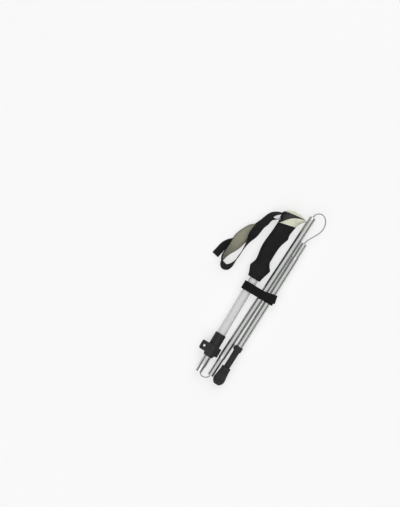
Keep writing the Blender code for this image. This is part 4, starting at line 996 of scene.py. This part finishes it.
# Inside the adjusting tube: the nylon bush on its upper end, which guides it and holds the
# cable, and the steel crimp that keeps the cable's end from slipping through the bush.
COATING = ((0.38, 0.39, 0.38), (0.31, 0.32, 0.31))
coating = mottled("cable_coating", COATING, (120.0, 4.0, 0.4, 0.8), (300.0, 3.0, 0.42, 0.55),
                  Specular_IOR_Level=0.4)
for node, finish in (("adjusting_bush", nylon), ("upper_cable_stop", steel), ("upper_cable", coating)):
    dress(node, finish)


# The locking tube: 14 mm aluminium, drawn and polished, with a hole drilled for the snap
# button. It slides in the adjusting tube, on the nylon bush on its inner end.
HOLE_STATION = 0.120
HOLE_RADIUS = 0.0027


def drilled_tube(name, node, finish):
    """A drawn tube with a round hole drilled through the wall of its lower side.

    The columns run once round, from one rim of the hole to the other. At a station s from the
    hole's middle a rim stands off by asin(sqrt(hole * hole - s * s) / radius). That is 0
    beyond the hole, where the first column and the last one meet.
    """
    start, end, radius = axis_of(node, ALONG)
    length = np.linalg.norm(end - start)
    corners = [(0.0, radius - TUBE_WALL), (0.0, radius), (length, radius), (length, radius - TUBE_WALL)]
    ends = soften(corners, TUBE_EDGE, True, 3)
    outside = together(HOLE_STATION - HOLE_RADIUS * np.cos(np.linspace(0.0, math.pi, 25)), radius)
    profile = np.concatenate([ends[:6], outside, ends[6:], outside[::-1] - [0.0, TUBE_WALL]])
    station, reach = profile.T[..., None]
    half = np.sqrt(np.clip(HOLE_RADIUS ** 2 - (station - HOLE_STATION) ** 2, 0.0, None))
    rim = np.arcsin(half / reach)
    turn = rim - math.pi / 2.0 + (2.0 * math.pi - 2.0 * rim) * np.linspace(0.0, 1.0, TUBE_STEPS + 1)
    grid = start + together(reach * np.cos(turn), station, reach * np.sin(turn))
    return skin(name, grid, finish, True, False, close=bmesh.ops.bridge_loops)


locking_tube = drilled_tube("aluminium_locking_tube", "locking_tube", aluminium)
stands_for(locking_tube, "locking_tube", "polished_aluminium", "locking_tube")
dress("locking_bush", nylon)


# The snap button and its leaf spring: a turned steel button in the locking tube's hole, and a
# strip of spring steel inside the tube that bears on it. They hold the tube out in use.
CROWN_STATIONS = (0.0008, 0.0002)
CROWN_SHARE = 0.75
BUTTON_EDGE = 0.0003
LEAF_ROUNDING = 0.0025
LEAF_EDGE = 0.0001
LEAF_START = 0.0002
LEAF_STEP = 0.0005
LEAF_HELD = 0.004

button_low, button_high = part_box("snap_button")
middle = (button_low + button_high) / 2.0
radius = (button_high.x - button_low.x) / 2.0
top = button_high.z - button_low.z
button_profile = soften([(0.0, 0.0), (0.0, radius), (top - CROWN_STATIONS[0], radius),
                         (top - CROWN_STATIONS[1], radius * CROWN_SHARE), (top, 0.0)], BUTTON_EDGE)
button = turned("steel_snap_button", button_profile, (middle.x, middle.y, button_high.z), -UP, steel,
                SMALL_STEPS)
stands_for(button, "snap_button", "steel", "snap_button")

low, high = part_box("button_spring")
middle = (low + high) / 2.0
y = np.arange(low.y + LEAF_START, high.y, LEAF_STEP)
places = together(middle.x, y, middle.z)
width = np.sqrt(1.0 - (1.0 - np.clip((y - low.y) / LEAF_ROUNDING, 0.0, 1.0)) ** 2)
leaf = swept("steel_button_leaf", places, strip_frames(places),
             strap_section(high.x - low.x, high.z - low.z, LEAF_EDGE), steel, width=width)
stands_for(leaf, ("locking_tube", "snap_button", (middle.x, high.y - LEAF_HELD, middle.z),
                  (middle.x, button_high.y, middle.z)), "steel", "button_spring")


# The cable: a coated steel wire rope. It runs through every tube and joins them. Here are
# its tight bend into the middle section and its run inside it.
CABLE_RADIUS = 0.00125
CABLE_STEP = 0.0008
CABLE_STEPS = 24
MIDDLE_ROWS = 350
STRANDS = 6
STRAND_DEPTH = 0.03
ROPE_LAY = 0.018
MIDDLE_SLANT = math.radians(2.1)
LOWER_SLANT = math.radians(1.25)
ALONG_MIDDLE = np.array([math.sin(MIDDLE_SLANT), math.cos(MIDDLE_SLANT), 0.0])
ALONG_LOWER = np.array([math.sin(LOWER_SLANT), math.cos(LOWER_SLANT), 0.0])
FLAT = [1.0, 1.0, 0.0]
# Points of the bend from the tube's top end, in millimetres.
BEND_ROUTE = [
    (0.1, -308.0), (1.0, -316.0), (2.4, -323.5), (3.7, -328.8), (5.8, -331.8),
    (9.2, -333.7), (13.2, -334.0), (17.4, -332.8), (20.8, -330.2),
]
BEND_START = (0.0, -0.304, 0.0)
BEND_APPROACH = (-0.0007, -0.0016, 0.0)
BEND_ENTRY = 0.0025
BEND_FOLD = ((0.0015, -0.33, 0.0), (0.0245, -0.33, 0.0))


def cable(name, places, body, node, first=0, last=None):
    """A wire rope: a circle along the places, with six shallow strands that wind round it.

    The radius is less by a share of the cosine of six times the turn, and the turn goes on
    by the length run over the lay of the rope. Only the rows from the first to the last are
    kept, and their ends shrink to their middle.
    """
    run = np.append(0.0, np.cumsum(np.linalg.norm(np.diff(places, axis=0), axis=1)))
    outward, across = strip_frames(places)[1:, :, None]
    turn = full_turn(CABLE_STEPS)
    wave = np.cos(STRANDS * turn + run[:, None] * (2.0 * math.pi / ROPE_LAY))
    ring = (CABLE_RADIUS * (1.0 - STRAND_DEPTH + STRAND_DEPTH * wave))[..., None] * arc(turn)
    grid = places[:, None] + across * ring[..., :1] + outward * ring[..., 1:]
    ends = np.repeat(places[first:last][[0, -1], None], CABLE_STEPS, axis=1)
    grid = np.concatenate([ends[:1], grid[first:last], ends[1:]])
    return stands_for(skin(name, grid, coating, sharp=60.0), body, "cable_coating", node)


def cable_route(start, points, end):
    """Even places through a start, the points of a route in millimetres, and an end."""
    rows = np.concatenate([start, together(*np.transpose(points), 0.0) * 0.001, end])
    return from_top(even_route(rows, CABLE_STEP)[0])


middle_mouth = (axis_of("middle_ferrule", ALONG_MIDDLE)[0] - tube_top) * FLAT
bend_end = middle_mouth + [BEND_APPROACH, ALONG_MIDDLE * BEND_ENTRY]
bend = cable_route([BEND_START], BEND_ROUTE, bend_end)
cable("coated_bottom_bend", bend, ("locking_tube", "middle_cable", *from_top(BEND_FOLD)), "bottom_cable_bend")

inner_run = np.linspace(*axis_of("middle_cable", ALONG_MIDDLE)[:2], MIDDLE_ROWS)
cable("coated_middle_cable", inner_run, "middle_cable", "middle_cable")


# The middle section: a 14 mm aluminium tube with a thinner ferrule pressed into its lower
# end, which plugs into the locking tube when the stick is unfolded.
FERRULE_WALL = 0.001
FERRULE_LEAD = 0.0008


def tube_and_ferrule(label, along, shows_at):
    """A section's tube and its ferrule, which stands out at the tube's first or second end.

    The ferrule is a plain sleeve's profile with a chamfered lead at the end that shows.
    """
    drawn = tube(f"aluminium_{label}_tube", label + "_tube", along, aluminium)
    stands_for(drawn, label + "_section", "polished_aluminium", label + "_tube")
    ends = axis_of(label + "_ferrule", along)
    start, end, radius = ends[1 - shows_at], ends[shows_at], ends[2]
    length = np.linalg.norm(end - start)
    bore = radius - FERRULE_WALL
    profile = soften([(0.0, bore), (0.0, radius), (length - FERRULE_LEAD, radius),
                      (length, radius - FERRULE_LEAD), (length, bore)], TUBE_EDGE, True)
    piece = turned(f"aluminium_{label}_ferrule", profile, start, end - start, aluminium)
    stands_for(piece, label + "_section", "polished_aluminium", label + "_ferrule")


tube_and_ferrule("middle", ALONG_MIDDLE, 0)


# The cable's wide loop, from the middle tube's top end into the lower section's ferrule. It
# is made in lengths: the first moves with the lower cable, and the others stay where they
# stand, on no body.
# How far inside the middle tube the loop starts, and how far it runs into the ferrule.
INSIDE_STATIONS = np.arange(0.0887, 0.006, -0.02)[:, None]
ENTERED_STATIONS = np.array([0.001, 0.012, 0.03, 0.05, 0.0743])[:, None]
# Points of the loop from the tube's top end, in millimetres.
LOOP_ROUTE = [
    (37.2, 45.2), (38.2, 50.3), (41.4, 54.8), (46.4, 57.6), (52.2, 57.9), (57.7, 55.3), (62.2, 50.2),
    (65.3, 43.2), (66.2, 35.6), (64.8, 27.4), (61.2, 18.8), (56.8, 10.8), (52.6, 3.0), (50.0, -3.2),
]
# Where each length ends, and, for a length that stays on no body, two points given with two bodies.
LOOP_LENGTHS = [
    ("lead", (0.0355, 0.015), None),
    ("rise", (0.0622, 0.0502), ((0.0286, 0.05, 0.0), (0.1298, 0.05, 0.0))),
    ("turn", (0.0612, 0.0188), ((0.06, 0.0974, 0.0), (0.06, -0.0460, 0.0))),
    ("return", None, ((0.06, 0.0513, 0.0), (0.06, -0.0079, 0.0))),
]

inside = (axis_of("middle_tube", ALONG_MIDDLE)[1] - tube_top - ALONG_MIDDLE * INSIDE_STATIONS) * FLAT
entered = (axis_of("lower_ferrule", ALONG_LOWER)[1] - tube_top - ALONG_LOWER * ENTERED_STATIONS) * FLAT
loop = cable_route(inside, LOOP_ROUTE, entered)
first = 0
for label, stop, fold in LOOP_LENGTHS:
    last = int(np.linalg.norm(loop - from_top((*stop, 0.0)), axis=1).argmin()) if stop else len(loop)
    body = ("lower_cable", "lower_section", *from_top(fold)) if fold else "lower_cable"
    cable("coated_loop_" + label, loop, body, "top_cable_loop", first, last + 1)
    first = last


# The lower section: a 14 mm aluminium tube with its own ferrule in its upper end, and the
# steel crimp under it that holds the cable's lower end.
tube_and_ferrule("lower", ALONG_LOWER, 1)
dress("lower_cable_stop", steel)


# The tip holder: hard black plastic, glued on the lower tube. A collar with one small lug
# takes the tube, the neck below it is bare, and a spigot inside the foot holds the tip.
HOLDER_TURN = math.pi
HOLDER_LUG_TURN = 0.30
HOLDER_LUG_ENDS = (0.0527, 0.0602)
HOLDER_LUG_RADIUS = 0.0100
LUG_FADE_TURN = 0.06
LUG_FADE = 0.0008
NECK_LIMIT = 0.0075
SPIGOT_REACH = 0.0543
HOLDER_EDGE = 0.0005
TIP_EDGE = 0.0004
RUBBER = ((0.0195, 0.0210, 0.0192), (0.0350, 0.0372, 0.0345))
# Profiles as (station from the spigot's end, radius). The holder's goes from the hole for the
# tip along the spigot and the neck to the collar, and back down into the cup for the tube.
HOLDER_NECK = [
    (0.008, 0.0), (0.008, 0.0033), (0.0, 0.0033), (0.0, 0.0050), (0.0150, 0.0050), (0.0150, 0.0061),
    (0.0330, 0.0062), (0.0500, 0.0064), (0.0525, 0.0081),
]
HOLDER_COLLAR = together(np.linspace(0.0528, 0.0616, 34), 0.0082)
HOLDER_CUP = [(0.0620, 0.0078), (0.0620, 0.0073), (0.0540, 0.0073), (0.0540, 0.0)]
STEEL_TIP = [(-0.0033, 0.0), (-0.0033, 0.0015), (-0.0018, 0.0030), (0.0077, 0.0030), (0.0077, 0.0)]

rubber = mottled("black_rubber", RUBBER, (55.0, 5.0, 0.4, 0.8), (200.0, 3.0, 0.62, 0.78),
                 (1400.0, 3.0, 0.00005), Specular_IOR_Level=0.28)
tube_start = axis_of("lower_tube", ALONG_LOWER)[0]
spigot_end = tube_start - ALONG_LOWER * SPIGOT_REACH


def with_lug(station, radius, turn):
    """The collar's outside raised by a small lug on the side of the middle tube.

    The lug's share falls from 1 to 0 within a short turn beyond its half width and within a
    short way beyond its two ends. Only radii above the neck's are raised.
    """
    away = np.abs((turn - HOLDER_TURN + math.pi) % (2.0 * math.pi) - math.pi)
    share = 1.0 - np.clip((away - HOLDER_LUG_TURN) / LUG_FADE_TURN, 0.0, 1.0)
    share = share * np.clip((station - HOLDER_LUG_ENDS[0]) / LUG_FADE, 0.0, 1.0)
    share = share * np.clip((HOLDER_LUG_ENDS[1] - station) / LUG_FADE, 0.0, 1.0)
    return radius + share * np.clip(HOLDER_LUG_RADIUS - radius, 0.0, None) * (radius > NECK_LIMIT)


holder_profile = soften(np.concatenate([HOLDER_NECK, HOLDER_COLLAR, HOLDER_CUP]), HOLDER_EDGE)
holder = turned("plastic_tip_holder", holder_profile, spigot_end, ALONG_LOWER, rubber, shaped=with_lug)
stands_for(holder, "lower_section", "black_rubber", "tip_holder")

steel_tip = turned("steel_tip_pin", soften(STEEL_TIP, TIP_EDGE), spigot_end, ALONG_LOWER, steel, SMALL_STEPS)
stands_for(steel_tip, "lower_section", "steel", "steel_tip")


# The rubber foot: moulded rubber, pushed over the spigot so that it can be pulled off. Its
# flared side is fluted, and its tread is rounded.
FOOT_TOP = 0.0147
FOOT_LENGTH = 0.0395
FOOT_STEPS = 216
FLUTES = 16
FLUTE_DEPTH = 0.0008
FLUTE_ENDS = (FOOT_TOP - FOOT_LENGTH + 0.008, FOOT_TOP - 0.0055)
FLUTE_FADES = (0.004, 0.003)
FLUTED_LIMIT = 0.0085
# Height over the tread and radius of the side, in millimetres.
FOOT_SIDE = np.array([
    (0.0, 4.8), (1.4, 7.0), (4.0, 9.2), (7.0, 11.0), (10.5, 11.95), (14.0, 11.8), (23.7, 10.5),
    (35.5, 9.4), (38.7, 9.3),
]) * 0.001
# Station from the spigot's end and radius of the rim, the socket and the hole for the tip.
FOOT_RIM = [(FOOT_TOP - 0.0004, 0.0091), (FOOT_TOP, 0.0085), (FOOT_TOP, 0.0053)]
FOOT_SOCKET = [(-0.0003, 0.0053), (-0.0003, 0.0038), (-0.0043, 0.0038), (-0.0043, 0.0)]


def with_flutes(station, radius, turn):
    """The foot's side with rounded flutes cut into it.

    Each flute takes off the depth times a power of half the cosine of the flutes' turn, and
    fades out towards the tread and towards the foot's top.
    """
    wave = (0.5 + 0.5 * np.cos(FLUTES * turn)) ** 1.5
    low = np.clip((station - FLUTE_ENDS[0]) / FLUTE_FADES[0], 0.0, 1.0)
    high = np.clip((FLUTE_ENDS[1] - station) / FLUTE_FADES[1], 0.0, 1.0)
    fade = low * low * (3 - 2 * low) * high * high * (3 - 2 * high)
    return radius - FLUTE_DEPTH * wave * fade * (radius > FLUTED_LIMIT)


heights = np.linspace(0.0, FOOT_SIDE[-1, 0], 110)
foot_profile = np.concatenate([
    [(FOOT_TOP - FOOT_LENGTH, 0.0)],
    together(FOOT_TOP - FOOT_LENGTH + heights, eased(FOOT_SIDE, heights)[:, 0]), FOOT_RIM, FOOT_SOCKET,
])
foot = turned("fluted_rubber_foot", foot_profile, spigot_end, ALONG_LOWER, rubber, FOOT_STEPS, with_flutes)
stands_for(foot, "foot", "black_rubber", "rubber_foot")


# The tube band: a woven elastic loop with a sewn end, slipped over the folded bundle. It is
# taken off before the stick is unfolded, and stays on the upper tube.
BAND_STATION = -0.1373
BAND_WIDTH = 0.0173
BAND_THICKNESS = 0.0022
BAND_CLEARANCE = 0.0006
BAND_SLACK = 0.0017
BAND_ROOM = 0.0012
BAND_RIBS = 9
BAND_RIB_DEPTH = 0.00022
BAND_EDGE = 0.0008
BAND_EDGE_FROM = 0.46
BAND_EDGE_SHARE = 0.04
BAND_END_SIZE = (0.034, 0.0173, 0.0016)
BAND_END_EDGE = 0.0006
BAND_END_RIB = 0.00008
BAND_END_SPARE = 0.0104
BAND_END_RISE = 0.0058
BAND_END_SINK = 0.0002
BAND_END_ANGLE = math.radians(12.0)
BAND_SEAM_LIFT = 0.0001
BAND_SEAMS = ((-0.0022, "outer"), (-0.0062, "inner"))
UPPER_RADIUS = 0.009
FOLDING_RADIUS = 0.007
ELASTIC = ((0.0065, 0.0064, 0.0067), (0.0150, 0.0148, 0.0154))

elastic = woven("elastic", ELASTIC, 0.0011, 0.00010, Roughness=0.88, Specular_IOR_Level=0.15)
run = tube_top[1] + BAND_STATION - tube_start[1]
reach = tube_start[0] + run * math.tan(LOWER_SLANT) - tube_top[0] + BAND_ROOM


def band_outline(extra):
    """The band's path round the upper tube and the outermost folded one, with a thickness.

    It is an arc round each tube, and the straight runs between the arcs touch both.
    """
    first, last = (radius + BAND_CLEARANCE + extra for radius in (UPPER_RADIUS, FOLDING_RADIUS))
    lean = math.asin((first - last) / (reach + BAND_SLACK))
    left = arc(np.linspace(math.pi / 2.0 - lean, 1.5 * math.pi + lean, 60), first) - [BAND_SLACK, 0.0]
    right = arc(np.linspace(1.5 * math.pi + lean, 2.5 * math.pi - lean, 60), last) + [reach, 0.0]
    share = np.linspace(0.0, 1.0, 30)[1:-1, None]
    return np.concatenate([left, left[-1] + share * (right[0] - left[-1]),
                           right, right[-1] + share * (left[0] - right[-1])])


def drawn_in(piece):
    """The piece gets a mesh of its own."""
    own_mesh(piece)


across = np.linspace(-0.5, 0.5, 90)
rib = BAND_RIB_DEPTH * (0.5 - 0.5 * np.cos(2.0 * math.pi * BAND_RIBS * (across + 0.5)))
edge = BAND_EDGE * np.clip((np.abs(across) - BAND_EDGE_FROM) / BAND_EDGE_SHARE, 0.0, 1.0) ** 2
wall = np.concatenate([together(across * BAND_WIDTH, BAND_THICKNESS - BAND_RIB_DEPTH + rib - edge),
                       together(across * BAND_WIDTH, edge * 0.5)[::-1]])
near, far = band_outline(0.0), band_outline(BAND_THICKNESS)
ring = near + (far - near) * (wall[:, 1] / BAND_THICKNESS)[:, None, None]
band_grid = from_top(together(ring[..., 0], BAND_STATION + wall[:, :1], ring[..., 1]))
band = skin("elastic_tube_band", band_grid, elastic, True, sharp=60.0)
drawn_in(stands_for(band, "handle", "black_webbing", "tube_band"))

slope = math.asin((UPPER_RADIUS - FOLDING_RADIUS) / (reach + BAND_SLACK))
length, width, depth = BAND_END_SIZE
section = strap_section(width, depth, BAND_END_EDGE, 40)
section[:, 1] += BAND_END_RIB * np.cos(section[:, 0] / width * 2.0 * math.pi * BAND_RIBS)
across_end = np.array([-math.sin(BAND_END_ANGLE), math.cos(BAND_END_ANGLE), 0.0])
along_end = np.array([across_end[1], -across_end[0], 0.0]) * math.cos(slope) - UP * math.sin(slope)
up_end = np.cross(along_end, across_end)
front = FOLDING_RADIUS + BAND_CLEARANCE + BAND_THICKNESS - BAND_END_SPARE * math.tan(slope)
front += depth / 2.0 - BAND_END_SINK
end_tip = from_top((reach + BAND_END_SPARE, BAND_STATION + BAND_END_RISE, front))
places = end_tip + along_end * np.linspace(-length, 0.0, 40)[:, None]
frames = np.stack([along_end, up_end, across_end])[:, None]
band_end = swept("elastic_band_end", places, frames, section, elastic)
drawn_in(stands_for(band_end, "handle", "black_webbing"))

seam = end_tip + across_end * np.linspace(-SEAM_REACH, SEAM_REACH, 6)[:, None] * width
for shift, label in BAND_SEAMS:
    sewn = seam + along_end * shift + up_end * (depth / 2.0 + BAND_SEAM_LIFT)
    drawn_in(stitches("band_stitches_" + label, sewn, across_end, up_end))


# The stage: a white floor under the stick, two wide soft lamps and a pale surround. Only the
# camera and mirrors see the floor's glow, which keeps it as white as in the picture.
FLOOR_SIZE = 30.0
FLOOR_COLOR = (0.93, 0.93, 0.93, 1.0)
FLOOR_GLOW = 0.6
LAMP_HEIGHT = 3.0
LAMP_REACH = 3.2
LAMP_SIZE = 5.0
LAMP_POWER = 80.0
SKY = [(0.0, 1.0), (0.08, 1.0), (0.13, 0.05), (0.62, 0.05), (0.76, 0.88), (1.0, 0.88)]

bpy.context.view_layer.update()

floor_paint, shader, place = finish_of("floor_paint", Base_Color=FLOOR_COLOR, Roughness=0.9,
                                       Specular_IOR_Level=0.0)
glow = place.node("ShaderNodeEmission", {}, {"Color": (1.0, 1.0, 1.0, 1.0), "Strength": 1.0})
seen, in_gloss, through_glass = (place.node("ShaderNodeLightPath", {}, {}, f"Is {kind} Ray")
                                 for kind in ("Camera", "Glossy", "Transmission"))
painted = Wire(floor_paint.node_tree, shader.outputs[0])
share = (seen + in_gloss + through_glass) * FLOOR_GLOW
mixed = painted.node("ShaderNodeMixShader", {}, {0: share, 1: painted, 2: glow})
wire_up(floor_paint.node_tree.nodes["Material Output"], Surface=mixed)
corners = np.array([(-1, -1, 0), (1, -1, 0), (1, 1, 0), (-1, 1, 0)]) * (FLOOR_SIZE / 2.0)
piece_of("floor", corners, np.arange(4), floor_paint)

for side, label in ((1.0, "lamp_at_grip"), (-1.0, "lamp_at_foot")):
    light = bpy.data.lights.new(label, "AREA")
    light.shape = "DISK"
    light.size = LAMP_SIZE
    light.energy = LAMP_POWER
    lamp = bpy.data.objects.new(label, light)
    lamp.visible_camera = False
    lamp.location = (0.0, side * LAMP_REACH, LAMP_HEIGHT)
    lamp.rotation_euler = lamp.location.to_track_quat("Z", "Y").to_euler()
    scene.collection.objects.link(lamp)

world = bpy.data.worlds.new("surround")
world.use_nodes = True
scene.world = world
height = Wire(world.node_tree).node("ShaderNodeTexCoord", {}, {}, "Generated").part(2)
wire_up(world.node_tree.nodes["Background"],
        Color=height.node("ShaderNodeValToRGB", {"stops": SKY}, {"Fac": height}))


# The view: the camera stands high above the folded stick and looks straight down. It is
# turned by the stick's slant in the picture, and stands so far back that the picture is
# almost free of perspective.
PICTURE_HEIGHT = 0.9937
PICTURE_CENTRE = (-0.1012, 0.0065)
PICTURE_SLANT = math.radians(31.0)
CAMERA_HEIGHT = 5.0
SENSOR_SIZE = 36.0

lens = bpy.data.cameras.new("camera")
lens.sensor_width = SENSOR_SIZE
lens.lens = SENSOR_SIZE * (CAMERA_HEIGHT - tube_top[2]) / PICTURE_HEIGHT
lens.clip_end = 3.0 * CAMERA_HEIGHT
camera = bpy.data.objects.new("camera", lens)
camera.location = (*PICTURE_CENTRE, CAMERA_HEIGHT)
camera.rotation_euler = (0.0, 0.0, PICTURE_SLANT)
scene.collection.objects.link(camera)
scene.camera = camera
